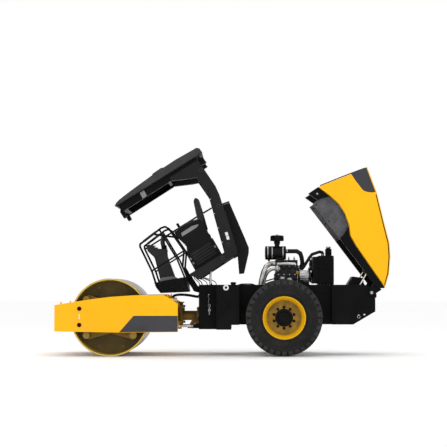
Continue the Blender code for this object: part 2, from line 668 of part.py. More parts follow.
def build_handrails():
    made = []
    for side, word in ((-1, "left"), (1, "right")):
        y = side * (TOE_Y + SEAT + RAIL_RADIUS)
        loop = [(-0.922, y, 1.400), (-0.857, y, 1.657), (-0.812, y, 2.085), (-0.790, y, 2.119)]
        loop += [(-0.376, y, 2.159), (-0.310, y, 2.145), (-0.275, y, 2.083)]
        loop += [(-0.256, y, 1.662), (-0.408, y, 1.460), (-0.418, y, 1.31), (-0.50, y, 1.20)]
        rail = tube("handrail_" + word, loop, RAIL_RADIUS, BLACK)
        post = tube("post", [(-0.48, y, 1.24), (-0.42, y, 1.60), (-0.41, y, 2.155)], 0.014, BLACK)
        middle = tube("middle", [(-0.855, y, 1.66), (-0.26, y, 1.662)], 0.013, BLACK)
        pieces = [post, middle]
        if side > 0:
            bar_path = [(-0.81, y, 2.07), (0.30, y, 2.07), (0.40, 0.68, 2.07)]
            bar_path.append((0.4912, 0.68, 2.07))
            pieces.append(tube("long", bar_path, 0.014, BLACK))
        made.append(join(rail, *pieces))
    return made


def build_console():
    rise = SEAT * 1.5
    outline = [(-0.8465, toe_height(-0.8465) + rise), (-0.725, 1.8385), (-0.765, 1.98)]
    outline += [(-0.745, 2.067), (-0.690, 2.060), (-0.60, 1.93), (-0.486, 1.85)]
    outline += [(-0.539, 1.748), (-0.62, toe_height(-0.62) + rise)]
    console = plate("steering_console", outline, -0.13, 0.13, PLASTIC)
    neck = WHEEL_HUB - WHEEL_TILT * 0.10
    end = WHEEL_HUB - WHEEL_TILT * SEAT * 2
    column = tube("column", [(-0.565, 0, 1.77), neck, end], 0.037, BLACK, 16)
    return join(console, column)


def build_steering_wheel():
    normal, hub = WHEEL_TILT, WHEEL_HUB
    sides = 32
    ring_radius, grip = 0.182, 0.014
    ring = []
    for i in range(8):
        angle = 2 * math.pi * i / 8
        ring.append((grip * math.sin(angle) + 0.01, ring_radius + grip * math.cos(angle)))
    wheel = turned("steering_wheel", hub, normal, ring, BLACK, sides)
    boss = bar("boss", hub, hub + normal * 0.025, 0.038, BLACK)
    side = normal.orthogonal().normalized()
    spokes = [boss]
    for i in range(3):
        turn = Matrix.Rotation(math.radians(120 * i), 3, normal)
        reach = turn @ side
        centre = hub + normal * 0.012
        spokes.append(bar("spoke", centre, centre + reach * ring_radius, 0.009, BLACK, 8))
    join(wheel, *spokes)
    return wheel


def build_seat():
    low = DECK_Z + SEAT
    lower = [(-0.275, low), (0.227, low), (0.235, 1.60), (-0.255, 1.60)]
    base = plate("seat_pedestal", lower, -0.50, 0.50, PLASTIC)
    pod = [(-0.235, 2.0), (-0.24, 1.90), (-0.20, 1.765), (-0.19, 1.70), (-0.25, 1.58)]
    pod += [(0.21, 1.58), (0.24, 1.90), (0.20, 1.95), (-0.02, 2.0)]
    pieces = []
    for y in (-1, 1):
        low_y, high_y = sorted((y * 0.30, y * 0.50))
        pieces.append(plate("pod", pod, low_y, high_y, PLASTIC))
    join(base, *pieces)
    cushion = [(-0.19, 1.60 + SEAT), (0.24, 1.60 + SEAT), (0.24, 1.745), (-0.17, 1.745)]
    seat = plate("seat_cushion", cushion + [(-0.20, 1.70)], -0.25, 0.25, VINYL)
    back = [(0.12, 1.745 + SEAT), (0.235, 1.745 + SEAT), (0.34, 2.08), (0.385, 2.29)]
    back += [(0.345, 2.33), (0.30, 2.30), (0.20, 2.05)]
    rest = plate("seat_back", back, -0.24, 0.24, VINYL)
    knob = Vector((-0.133, 0.40, 2.10))
    lever = bar("travel_lever", (-0.14, 0.40, 2.0 + SEAT), (-0.14, 0.40, 2.02), 0.03, BLACK)
    stalk = bar("stalk", (-0.14, 0.40, 2.01), knob, 0.009, BLACK, 8)
    grip = bar("grip", knob - Vector((0, 0, 0.03)), knob + Vector((0, 0, 0.04)), 0.02, BLACK, 12)
    return [base, seat, rest, join(lever, stalk, grip)]


def build_platform():
    wheel = build_steering_wheel()
    made = [build_floor(), build_rops(), build_bulkhead(), build_console(), wheel]
    made += build_roof() + build_lamps() + build_handrails() + build_seat()
    hang("tilt_axis", TILT, made, -TILT_DEGREES)


# Hood


def build_hood_shell():
    outline = [(0.524, 1.358), (0.758, 2.169), (1.161, 2.043), (1.597, 1.844), (1.917, 1.703)]
    outline += [(2.092, 1.584), (2.291, 1.401), (2.415, 1.228), (2.42, 1.212), (2.375, 1.212)]
    outline += [(1.620, 1.256), (1.446, 1.283), (1.300, 1.370), (1.115, 1.432)]
    outline += [(0.933, 1.450), (0.745, 1.418)]
    shell = plate("hood_shell", outline, -HOOD_Y, HOOD_Y, YELLOW)
    room = [(0.40, 2.257), (1.156, 2.020), (1.590, 1.822), (1.906, 1.682), (2.078, 1.567)]
    room += [(2.273, 1.387), (2.388, 1.226), (2.388, 0.9), (0.40, 0.9)]
    inner = HOOD_Y - HOOD_SKIN
    return cut(shell, plate("room", room, -inner, inner, YELLOW))


def build_hood_frame():
    inner = LINER_Y + LINER_PLATE + SEAT
    skin = HOOD_Y - HOOD_SKIN - SEAT
    rail = [(0.511, 1.175), (0.678, 1.226), (0.750, 1.425), (0.933, 1.457), (1.115, 1.439)]
    rail += [(1.310, 1.377), (1.40, 1.128), (2.357, 1.110), (2.428, 1.199), (2.37, 1.2105)]
    rail += [(2.30, 1.29), (1.62, 1.33), (1.32, 1.46), (1.115, 1.52), (0.933, 1.54)]
    rail += [(0.745, 1.50), (0.565, 1.42), (0.530, 1.357)]
    low_edge = [(1.388, 1.128), (2.357, 1.110), (2.428, 1.199), (2.415, 1.2115), (2.375, 1.2115)]
    low_edge += [(1.62, 1.2553), (1.4465, 1.2822), (1.36, 1.24)]
    corner = [(0.511, 1.175), (0.678, 1.226), (0.738, 1.4155), (0.5245, 1.3575)]
    arm = [(2.24, 1.15), (2.315, 0.97), (2.345, 0.945), (2.375, 0.945), (2.405, 0.97), (2.42, 1.15)]
    rails = []
    for y in (-1, 1):
        low, high = sorted((y * inner, y * skin))
        side = plate("side", rail, low, high, BLACK)
        outer_low, outer_high = sorted((y * (skin - 0.01), y * HOOD_Y))
        sill = plate("sill", low_edge, outer_low, outer_high, BLACK)
        tip = plate("tip", corner, outer_low, outer_high, BLACK)
        hinge = plate("hinge", arm, *sorted((y * inner, y * skin)), BLACK)
        ear = (STRUT_EYE[0], y * 0.50, STRUT_EYE[2]), (STRUT_EYE[0], y * 0.56, STRUT_EYE[2])
        stub = bar("stub", *ear, 0.02, BLACK)
        join(side, sill, tip, hinge, stub)
        hole = (HOOD.x, low - 0.1, HOOD.z), (HOOD.x, high + 0.1, HOOD.z)
        cut(side, bar("hole", *hole, HINGE_PIN + PIN_PLAY, BLACK, 24))
        rails.append(side)
    reach = inner + 0.01
    back = block("back", (2.31, 2.36), (-reach, reach), (1.14, 1.19), BLACK)
    frame = join(rails[0], rails[1], back)
    frame.name = "hood_frame"
    return frame


def build_liners():
    outline = [(0.679, 1.134), (1.40, 1.126), (1.42, 1.40), (1.30, 1.50), (1.10, 1.57)]
    outline += [(0.80, 1.57), (0.70, 1.45)]
    made = []
    for side, word in ((-1, "left"), (1, "right")):
        low, high = sorted((side * LINER_Y, side * (LINER_Y + LINER_PLATE)))
        made.append(plate("hood_liner_" + word, outline, low, high, PLASTIC))
    return made


def build_hood():
    made = [build_hood_shell(), build_hood_frame()] + build_liners()
    hang("hood_axis", HOOD, made, HOOD_DEGREES)


def main():
    build_drum()
    build_front_body()
    build_rear_frame()
    build_tanks()
    build_tail()
    build_axle()
    build_wheel(-1, "left")
    build_wheel(1, "right")
    build_engine()
    build_intake()
    build_radiator()
    build_centre_joint()
    build_cylinders()
    build_platform()
    build_hood()


main()
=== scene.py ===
import json
import math

import bmesh
import bpy
from mathutils import Matrix, Vector


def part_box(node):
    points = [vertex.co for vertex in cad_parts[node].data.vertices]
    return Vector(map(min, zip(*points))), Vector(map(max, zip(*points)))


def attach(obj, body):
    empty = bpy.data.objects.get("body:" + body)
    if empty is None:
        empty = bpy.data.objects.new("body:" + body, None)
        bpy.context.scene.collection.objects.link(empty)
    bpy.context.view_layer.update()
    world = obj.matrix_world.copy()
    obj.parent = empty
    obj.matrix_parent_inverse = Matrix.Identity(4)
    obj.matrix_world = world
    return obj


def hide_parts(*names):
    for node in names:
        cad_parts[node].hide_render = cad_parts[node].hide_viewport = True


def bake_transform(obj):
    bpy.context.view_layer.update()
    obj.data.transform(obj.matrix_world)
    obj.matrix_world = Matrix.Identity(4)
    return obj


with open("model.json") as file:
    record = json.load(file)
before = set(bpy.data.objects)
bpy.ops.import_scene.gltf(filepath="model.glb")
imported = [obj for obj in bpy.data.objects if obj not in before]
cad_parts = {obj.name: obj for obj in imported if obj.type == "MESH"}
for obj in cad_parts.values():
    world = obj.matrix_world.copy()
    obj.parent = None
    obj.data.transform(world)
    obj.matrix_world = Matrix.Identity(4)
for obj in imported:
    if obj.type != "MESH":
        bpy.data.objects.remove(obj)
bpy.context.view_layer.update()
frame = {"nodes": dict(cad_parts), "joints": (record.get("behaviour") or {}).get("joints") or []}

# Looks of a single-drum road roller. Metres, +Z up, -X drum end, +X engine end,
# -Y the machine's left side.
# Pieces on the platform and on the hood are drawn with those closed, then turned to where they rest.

JOINTS = {joint["name"]: joint for joint in frame["joints"]}
SIDES = ((-1, "left"), (1, "right"))


def rest_turn(joint, closed_degrees):
    """Takes a place drawn with a hinge closed to where it is at rest."""
    pivot = Matrix.Translation(Vector(JOINTS[joint]["pos_m"]))
    turn = Matrix.Rotation(math.radians(-closed_degrees), 4, "Y")
    return pivot @ turn @ pivot.inverted()


REST = {
    "platform": rest_turn("platform_tilt", JOINTS["platform_tilt"]["range_deg"][1]),
    "hood": rest_turn("hood_lift", JOINTS["hood_lift"]["range_deg"][0]),
}
REST["steering_wheel_body"] = REST["platform"]

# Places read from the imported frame
DRUM = Vector(JOINTS["drum_roll"]["pos_m"])
WHEEL = Vector(JOINTS["left_wheel_roll"]["pos_m"])
PLATE_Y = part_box("drum_frame")[1].y
TANK_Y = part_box("fuel_tank")[1].y
TAIL_Y = TANK_Y - 0.14
CHASSIS_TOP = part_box("rear_frame")[1].z
HOOD_PIN = Vector(JOINTS["hood_lift"]["pos_m"])

# Places given as numbers, on the closed machine
CHASSIS_Y = 0.4
POST_Y = 0.74
BULKHEAD_Y = 0.5
RAIL_Y = 0.5963
HOOD_Y = 0.61
LINER_Y = 0.5245
CYLINDERS = [0.9 + 0.088 * i for i in range(4)]
FAN_Z = 1.345
CLEANER_Z = 1.636
PRE_CLEANER_X = 0.883
SHARP = math.radians(38)
WHEEL_HUB = (-0.425, 0.0, 2.0605)
WHEEL_NORMAL = Vector((0.64, 0.0, 0.768)).normalized()

# Looks


class Look:
    """A Principled material with patterns in metres, and the record's material slot it stands for."""

    def __init__(self, name, slot, roughness, metallic=0.0, **sockets):
        self.slot = slot
        self.material = bpy.data.materials.new(name)
        self.material.use_nodes = True
        self.tree = self.material.node_tree
        self.shader = self.tree.nodes["Principled BSDF"]
        self.shader.inputs["Roughness"].default_value = roughness
        self.shader.inputs["Metallic"].default_value = metallic
        for socket, value in sockets.items():
            self.shader.inputs[socket.replace("_", " ")].default_value = value
        self.place = self.node("TexCoord").outputs["Object"]

    def node(self, kind, **settings):
        made = self.tree.nodes.new("ShaderNode" + kind)
        for key, value in settings.items():
            setattr(made, key, value)
        return made

    def give(self, source, socket):
        if isinstance(source, (int, float)):
            socket.default_value = source
        elif isinstance(source, tuple):
            socket.default_value = (*source, 1.0)
        else:
            self.tree.links.new(source, socket)

    def pattern(self, kind, scale, stretch=None, **settings):
        """A texture's main output, with its place stretched along each axis."""
        made = self.node(kind, **settings)
        made.inputs["Scale"].default_value = scale
        place = self.place
        if stretch:
            mapping = self.node("Mapping")
            mapping.inputs["Scale"].default_value = stretch
            self.give(place, mapping.inputs["Vector"])
            place = mapping.outputs["Vector"]
        self.give(place, made.inputs["Vector"])
        return made

    def noise(self, scale, detail=3.0, stretch=None):
        made = self.pattern("TexNoise", scale, stretch)
        made.inputs["Detail"].default_value = detail
        return made.outputs["Fac"]

    def cells(self, scale, feature="F1"):
        return self.pattern("TexVoronoi", scale, feature=feature).outputs["Distance"]

    def math(self, operation, first, second=0.0):
        made = self.node("Math", operation=operation)
        self.give(first, made.inputs[0])
        self.give(second, made.inputs[1])
        return made.outputs[0]

    def span(self, source, low, high, out_low=0.0, out_high=1.0):
        """Turns low..high into out_low..out_high, and holds it there."""
        made = self.node("MapRange")
        for socket, value in enumerate((source, low, high, out_low, out_high)):
            self.give(value, made.inputs[socket])
        return made.outputs[0]

    def mix(self, share, first, second):
        made = self.node("Mix", data_type="RGBA")
        self.give(share, made.inputs[0])
        self.give(first, made.inputs[6])
        self.give(second, made.inputs[7])
        return made.outputs[2]

    def axis(self, letter):
        made = self.node("SeparateXYZ")
        self.give(self.place, made.inputs[0])
        return made.outputs["XYZ".index(letter)]

    def radius(self, centre):
        """Distance from a line along Y through the centre."""
        across = self.math("SUBTRACT", self.axis("X"), centre.x)
        up = self.math("SUBTRACT", self.axis("Z"), centre.z)
        total = self.math("ADD", self.math("MULTIPLY", across, across), self.math("MULTIPLY", up, up))
        return self.math("SQRT", total)

    def colour(self, source):
        self.give(source, self.shader.inputs["Base Color"])

    def rough(self, source):
        self.give(source, self.shader.inputs["Roughness"])

    def metal(self, source):
        self.give(source, self.shader.inputs["Metallic"])

    def bump(self, height, depth):
        made = self.node("Bump")
        made.inputs["Distance"].default_value = depth
        self.give(height, made.inputs["Height"])
        earlier = self.shader.inputs["Normal"].links
        if earlier:
            self.give(earlier[0].from_socket, made.inputs["Normal"])
        self.give(made.outputs[0], self.shader.inputs["Normal"])


def dusty(look, clean, dust, height, amount):
    """The clean colour, with road dust that gathers in patches below a height."""
    low = look.span(look.axis("Z"), 0.0, height, 1.0, 0.0)
    patch = look.span(look.noise(5.0, 6.0), 0.42, 0.68)
    share = look.math("MULTIPLY", look.math("MULTIPLY", low, patch), amount)
    return look.mix(share, clean, dust)


def paint(name, slot, colour, shade, roughness, dust=0.25, coat=0.25, sheen=0.25):
    """Sprayed paint: a slow change of tone, orange peel, fine dust low down."""
    look = Look(name, slot, roughness, Coat_Weight=coat, Coat_Roughness=0.12, Specular_IOR_Level=sheen)
    tone = look.mix(look.span(look.noise(1.6, 2.0), 0.3, 0.7), shade, colour)
    look.colour(dusty(look, tone, (0.3, 0.26, 0.2), 1.0, dust))
    look.rough(look.span(look.noise(9.0, 4.0), 0.3, 0.7, roughness - 0.06, roughness + 0.08))
    look.bump(look.noise(260.0, 1.0), 0.0004)
    return look


def plastic(name, slot, colour, shade, roughness, grain=420.0):
    """Moulded plastic with a fine leather-like grain."""
    look = Look(name, slot, roughness, Specular_IOR_Level=0.12)
    look.colour(look.mix(look.span(look.noise(3.0, 4.0), 0.35, 0.65), shade, colour))
    look.rough(look.span(look.noise(14.0, 3.0), 0.3, 0.7, roughness - 0.07, roughness + 0.07))
    look.bump(look.cells(grain, "SMOOTH_F1"), 0.0006)
    return look


def rubber(name, slot, colour, dust, amount):
    look = Look(name, slot, 0.72, Specular_IOR_Level=0.2)
    mould = look.span(look.noise(7.0, 5.0), 0.35, 0.7)
    look.colour(dusty(look, look.mix(mould, colour, tuple(c * 1.9 for c in colour)), dust, 1.3, amount))
    look.rough(look.span(look.noise(30.0, 3.0), 0.3, 0.7, 0.6, 0.86))
    look.bump(look.noise(180.0, 3.0), 0.0008)
    return look


def metal(name, slot, colour, shade, roughness, stretch, scale=40.0):
    """Machined or plated metal with scratches drawn out along one direction."""
    look = Look(name, slot, roughness, 1.0)
    look.colour(look.mix(look.noise(6.0, 4.0), shade, colour))
    scratch = look.noise(scale, 6.0, stretch)
    look.rough(look.span(scratch, 0.3, 0.7, roughness - 0.08, roughness + 0.14))
    look.bump(scratch, 0.0002)
    return look


def cast(name, slot, colour, shade, roughness, metallic):
    """Rough sand-cast surface with oil stains."""
    look = Look(name, slot, roughness, metallic, Specular_IOR_Level=0.25)
    look.colour(look.mix(look.span(look.noise(8.0, 6.0), 0.35, 0.65), shade, colour))
    look.rough(look.span(look.noise(20.0, 3.0), 0.3, 0.7, roughness - 0.12, roughness + 0.12))
    look.bump(look.noise(150.0, 5.0), 0.0016)
    return look


def drum_look():
    """Rolled steel with scratches round the drum, and yellow paint on its ends and inside, darkened inside
    the drum with painted shade.
    """
    look = Look("rolled_drum", "drum_steel", 0.35, 1.0, Specular_IOR_Level=0.2)
    outside = look.span(look.radius(DRUM), 0.6035, 0.6055)
    scratch = look.noise(26.0, 8.0, (1.0, 16.0, 1.0))
    steel = look.mix(look.span(scratch, 0.35, 0.7), (0.21, 0.19, 0.17), (0.55, 0.53, 0.5))
    steel = look.mix(look.span(look.noise(2.4, 6.0), 0.5, 0.72), steel, (0.2, 0.13, 0.08))
    edge = look.span(look.radius(DRUM), 0.575, 0.59)
    # painted shade: inside the drum the yellow turns dark olive; only the rim edge keeps the full yellow
    shaded_yellow = look.mix(look.span(look.noise(4.0, 5.0), 0.35, 0.7), (0.075, 0.052, 0.007), (0.14, 0.095, 0.013))
    painted = look.mix(edge, shaded_yellow, (0.62, 0.42, 0.05))
    look.colour(look.mix(outside, painted, steel))
    look.metal(outside)
    look.rough(look.span(scratch, 0.3, 0.7, 0.28, 0.5))
    look.bump(scratch, 0.0005)
    return look


def rim_look():
    """Bright flange, and a well darkened with painted shade and some brake dust."""
    look = Look("wheel_yellow", "yellow_paint", 0.42, Coat_Weight=0.05, Specular_IOR_Level=0.2)
    # painted shade with some brake dust: the disc inside the flange is darkened in blotches
    well = look.span(look.radius(WHEEL), 0.262, 0.285, 1.0, 0.0)
    shade_and_grime = look.span(look.noise(9.0, 5.0), 0.3, 0.7, 0.62, 0.92)
    look.colour(look.mix(look.math("MULTIPLY", well, shade_and_grime), (0.8, 0.44, 0.006), (0.1, 0.065, 0.018)))
    look.rough(look.span(look.noise(12.0, 3.0), 0.3, 0.7, 0.34, 0.55))
    look.bump(look.noise(240.0, 1.0), 0.0004)
    return look


def foil_look():
    """Quilted sound-proofing with a dull grey foil face."""
    look = Look("quilted_liner", "grey_plastic", 0.5, 0.1, Specular_IOR_Level=0.25)
    quilt = look.cells(24.0)
    look.colour(
        look.mix(look.span(look.noise(10.0, 6.0), 0.35, 0.7), (0.06, 0.06, 0.066), (0.105, 0.105, 0.115))
    )
    look.rough(look.span(look.noise(40.0, 3.0), 0.3, 0.7, 0.32, 0.6))
    look.bump(quilt, 0.006)
    look.bump(look.noise(90.0, 5.0), 0.002)
    return look


def vinyl_look():
    look = Look(
        "seat_vinyl_grain", "seat_vinyl", 0.42, Coat_Weight=0.1, Coat_Roughness=0.35,
        Specular_IOR_Level=0.25,
    )
    look.colour(
        look.mix(look.span(look.noise(6.0, 4.0), 0.3, 0.7), (0.008, 0.008, 0.009), (0.02, 0.02, 0.021))
    )
    look.rough(look.span(look.noise(25.0, 3.0), 0.3, 0.7, 0.36, 0.52))
    look.bump(look.cells(330.0, "SMOOTH_F1"), 0.0009)
    look.bump(look.noise(16.0, 2.0), 0.003)
    return look


def lens_look(name, colour):
    """Moulded lamp lens with vertical flutes over a reflector."""
    look = Look(name, None, 0.08, Coat_Weight=0.8, Coat_Roughness=0.04)
    flute = look.pattern("TexWave", 55.0, bands_direction="Y").outputs["Fac"]
    look.colour(look.mix(flute, colour, tuple(min(1.0, c * 1.7 + 0.04) for c in colour)))
    look.bump(flute, 0.003)
    return look


def webbing_look():
    look = Look("belt_webbing", None, 0.75)
    weave = look.pattern("TexWave", 260.0, bands_direction="DIAGONAL").outputs["Fac"]
    look.colour(look.mix(weave, (0.02, 0.02, 0.022), (0.07, 0.07, 0.075)))
    look.bump(weave, 0.0008)
    return look


L = {
    "yellow": paint(
        "machine_yellow", "yellow_paint", (0.97, 0.475, 0.001), (0.93, 0.44, 0.001), 0.36, 0.08, 0.06, 0.16
    ),
    "black": paint(
        "frame_black", "black_paint", (0.006, 0.006, 0.0065), (0.0035, 0.0035, 0.004), 0.4, 0.02, 0.0, 0.05
    ),
    "grey": paint(
        "post_grey", "grey_paint", (0.017, 0.017, 0.018), (0.012, 0.012, 0.013), 0.46, 0.06, 0.0, 0.08
    ),
    "decal": paint(
        "decal_grey", "grey_paint", (0.046, 0.046, 0.052), (0.04, 0.04, 0.046), 0.34, 0.05, 0.1, 0.15
    ),
    "roof": plastic("roof_shell", "grey_plastic", (0.05, 0.05, 0.05), (0.036, 0.036, 0.037), 0.48, 300.0),
    "panel": plastic("console_grey", "grey_plastic", (0.036, 0.036, 0.038), (0.026, 0.026, 0.028), 0.5),
    "trim": plastic("trim_black", "black_plastic", (0.005, 0.005, 0.0055), (0.0028, 0.0028, 0.003), 0.5),
    "pale": plastic("pale_trim", "grey_plastic", (0.24, 0.24, 0.24), (0.19, 0.19, 0.19), 0.45),
    "label": plastic("blank_label", None, (0.78, 0.78, 0.77), (0.66, 0.66, 0.64), 0.5, 900.0),
    "tyre": rubber("tyre_side", "tyre_rubber", (0.006, 0.006, 0.006), (0.032, 0.03, 0.027), 0.35),
    "tread": rubber("tyre_blocks", "tyre_rubber", (0.018, 0.018, 0.018), (0.06, 0.058, 0.053), 0.5),
    "hose": rubber("hose_black", "hose_rubber", (0.006, 0.006, 0.0065), (0.03, 0.03, 0.03), 0.15),
    "bright": metal("rod_chrome", "bright_steel", (0.78, 0.78, 0.78), (0.62, 0.62, 0.63), 0.16, (1, 1, 1)),
    "zinc": metal("zinc_plate", "bright_steel", (0.5, 0.5, 0.5), (0.33, 0.33, 0.34), 0.34, (1, 1, 1), 90.0),
    "pipe": cast("pipe_silver", "bright_steel", (0.62, 0.61, 0.6), (0.34, 0.33, 0.31), 0.36, 0.9),
    "cast": cast("engine_cast", "cast_iron", (0.02, 0.02, 0.021), (0.006, 0.006, 0.006), 0.52, 0.1),
    "alloy": cast("alternator_alloy", "bright_steel", (0.55, 0.55, 0.54), (0.34, 0.34, 0.33), 0.4, 0.8),
    # painted shade: a darkened yellow for the yellow-painted parts inside the drum
    "shaded_yellow": paint("painted_shade_yellow", "yellow_paint", (0.34, 0.2, 0.02), (0.2, 0.12, 0.016), 0.5, 0.3, 0.0, 0.15),
    # painted shade: the yellow-painted joint castings are darkened to brown
    "joint": cast("shaded_joint_casting", "yellow_paint", (0.3, 0.17, 0.018), (0.11, 0.065, 0.012), 0.5, 0.0),
    "amber": lens_look("amber_lens", (0.85, 0.22, 0.01)),
    "red": lens_look("red_lens", (0.55, 0.015, 0.01)),
    "clear": lens_look("clear_lens", (0.55, 0.56, 0.58)),
    "drum": drum_look(),
    "rim": rim_look(),
    "liner": foil_look(),
    "vinyl": vinyl_look(),
    "webbing": webbing_look(),
}

# Shapes


def smooth_path(points, steps):
    """Points along a Catmull-Rom curve through the given ones."""
    points = [Vector(p) for p in points]
    ends = [2 * points[0] - points[1]] + points + [2 * points[-1] - points[-2]]
    path = []
    for a, b, c, d in zip(ends, ends[1:], ends[2:], ends[3:]):
        for i in range(steps):
            t = i / steps
            bend = (2 * a - 5 * b + 4 * c - d) * t * t + (3 * b - a - 3 * c + d) * t * t * t
            path.append(0.5 * (2 * b + (c - a) * t + bend))
    return path + [points[-1]]


def around(count, radius=1.0, centre=(0.0, 0.0), first=0.0):
    """Even spots on a circle, as two coordinates each, from the first angle in degrees."""
    spots = []
    for i in range(count):
        angle = math.radians(first) + 2 * math.pi * i / count
        spots.append((centre[0] + radius * math.cos(angle), centre[1] + radius * math.sin(angle)))
    return spots


def disc(radius, high, low=0.0):
    """A plain disc's profile for Shape.lathe."""
    return [(low, 0), (low, radius), (high, radius), (high, 0)]


def band(inner, outer, half):
    """A flat band's profile for Shape.lathe."""
    return [(-half, inner), (-half, outer), (half, outer), (half, inner)]


class Shape:
    """Collects closed shapes for one piece."""

    def __init__(self):
        self.mesh = bmesh.new()

    def prism(self, outline, low, high, across="y"):
        order = {"x": (2, 0, 1), "y": (0, 2, 1), "z": (0, 1, 2)}[across]
        rings = []
        for along in (low, high):
            spots = [(*point, along) for point in outline]
            rings.append([self.mesh.verts.new([s[k] for k in order]) for s in spots])
        near, far = rings
        self.mesh.faces.new(near)
        self.mesh.faces.new(reversed(far))
        for i in range(len(near)):
            j = (i + 1) % len(near)
            self.mesh.faces.new((near[i], near[j], far[j], far[i]))
        return self

    def loft(self, rings):
        """Skins a row of rings of points and closes both ends."""
        rings = [[self.mesh.verts.new(spot) for spot in ring] for ring in rings]
        for near, far in zip(rings, rings[1:]):
            for i in range(len(near)):
                j = (i + 1) % len(near)
                self.mesh.faces.new((near[i], near[j], far[j], far[i]))
        self.mesh.faces.new(list(reversed(rings[0])))
        self.mesh.faces.new(rings[-1])
        return self

    def box(self, xs, ys, zs):
        (x0, x1), (z0, z1) = xs, zs
        return self.prism([(x0, z0), (x1, z0), (x1, z1), (x0, z1)], ys[0], ys[1])

    def pair(self, xs, ys, zs):
        """A box on each side of the machine; ys are distances from its middle."""
        for side in (-1, 1):
            self.box(xs, sorted((side * ys[0], side * ys[1])), zs)
        return self

    def lathe(self, centre, axis, profile, sides=32):
        """A closed profile of (along, radius) turned about an axis through the centre."""
        turn = Vector(axis).to_track_quat("Z", "Y").to_matrix()
        rings = []
        for c, s in around(sides):
            spots = [Vector(centre) + turn @ Vector((c * r, s * r, a)) for a, r in profile]
            rings.append([self.mesh.verts.new(spot) for spot in spots])
        made = [v for ring in rings for v in ring]
        for i in range(sides):
            here, there = rings[i], rings[(i + 1) % sides]
            for j in range(len(profile)):
                k = (j + 1) % len(profile)
                if profile[j][1] or profile[k][1]:
                    self.mesh.faces.new((here[j], there[j], there[k], here[k]))
        bmesh.ops.remove_doubles(self.mesh, verts=made, dist=0.00001)
        return self

    def rod(self, start, end, radius, sides=20, round_end=0.0):
        start, end = Vector(start), Vector(end)
        length = (end - start).length
        chamfer = min(round_end, length / 2)
        profile = [(0, 0), (0, radius - chamfer), (chamfer, radius)]
        profile += [(length - chamfer, radius), (length, radius - chamfer), (length, 0)]
        if not chamfer:
            profile = [(0, 0), (0, radius), (length, radius), (length, 0)]
        return self.lathe(start, end - start, profile, sides)

    def ring(self, centre, axis, radius, thick, sides=40, turns=10):
        profile = [(-s, radius + c) for c, s in around(turns, thick)]
        return self.lathe(centre, axis, profile, sides)

    def pipe(self, points, radius, sides=12, steps=6, ribs=0.0):
        """A hose along a smooth curve; ribs makes every other ring that much wider."""
        path = smooth_path(points, steps)
        first = (path[1] - path[0]).normalized()
        side = first.orthogonal().normalized()
        rings = []
        for i, spot in enumerate(path):
            before, after = path[max(i - 1, 0)], path[min(i + 1, len(path) - 1)]
            along = (after - before).normalized()
            side = (side - along * side.dot(along)).normalized()
            up = along.cross(side)
            wide = radius + (ribs if i % 2 else 0.0)
            rings.append([spot + wide * (c * side + s * up) for c, s in around(sides)])
        return self.loft(rings)

    def bolts(self, spots, axis, size=0.012):
        """Hexagon heads on washers, at spots on a face that looks along the axis."""
        for spot in spots:
            washer = [(0, 0), (0, size * 1.25), (size * 0.2, size * 1.25), (size * 0.2, 0)]
            self.lathe(spot, axis, washer, 16)
            head = [(size * 0.2, 0), (size * 0.2, size), (size * 0.8, size)]
            head += [(size * 0.95, size * 0.85), (size * 0.95, 0)]
            self.lathe(spot, axis, head, 6)
        return self

    def mirrored(self):
        """Adds a copy of everything on the other side of the machine."""
        both = bmesh.ops.duplicate(self.mesh, geom=self.mesh.verts[:] + self.mesh.faces[:])
        verts = [e for e in both["geom"] if isinstance(e, bmesh.types.BMVert)]
        bmesh.ops.scale(self.mesh, vec=(1, -1, 1), verts=verts)
        return self

    def thing(self, name, body, look):
        """The shape as an object with its look; where its body has a rest turn, it was drawn closed."""
        bmesh.ops.transform(self.mesh, matrix=REST.get(body, Matrix()), verts=self.mesh.verts)
        bmesh.ops.recalc_face_normals(self.mesh, faces=self.mesh.faces)
        mesh = bpy.data.meshes.new(name)
        self.mesh.to_mesh(mesh)
        self.mesh.free()
        made = bpy.data.objects.new(name, mesh)
        bpy.context.scene.collection.objects.link(made)
        mesh.materials.append(L[look].material)
        return made

    def piece(self, name, body, look, bevel=0.0, follow=None, smooth=False):
        """Makes the piece and rides it on its body; with follow, it bakes the piece in place and rides no
        body.
        """
        made = self.thing(name, body, look)
        made.data.shade_smooth()
        if not smooth:
            made.data.set_sharp_from_angle(angle=SHARP)
        if bevel:
            round_edges(made, bevel)
        if follow:
            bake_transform(made)
        else:
            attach(made, body)
        return made


def round_edges(thing, width, segments=2):
    bevel = thing.modifiers.new("edges", "BEVEL")
    bevel.width = width
    bevel.segments = segments
    bevel.limit_method = "ANGLE"
    bevel.angle_limit = SHARP
    bevel.harden_normals = True


def dress(node, look, width=0.0):
    """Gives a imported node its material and, through modifiers, softly rounded edges."""
    thing = frame["nodes"][node]
    thing.data.materials.clear()
    thing.data.materials.append(L[look].material)
    if "custom_normal" in thing.data.attributes:
        thing.data.attributes.remove(thing.data.attributes["custom_normal"])
    weld = thing.modifiers.new("weld", "WELD")
    weld.merge_threshold = 0.00001
    flat = thing.modifiers.new("flat", "DECIMATE")
    flat.decimate_type = "DISSOLVE"
    flat.angle_limit = math.radians(0.5)
    thing.data.shade_smooth()
    if width:
        round_edges(thing, width)
    else:
        split = thing.modifiers.new("sharp", "EDGE_SPLIT")
        split.split_angle = math.radians(34)


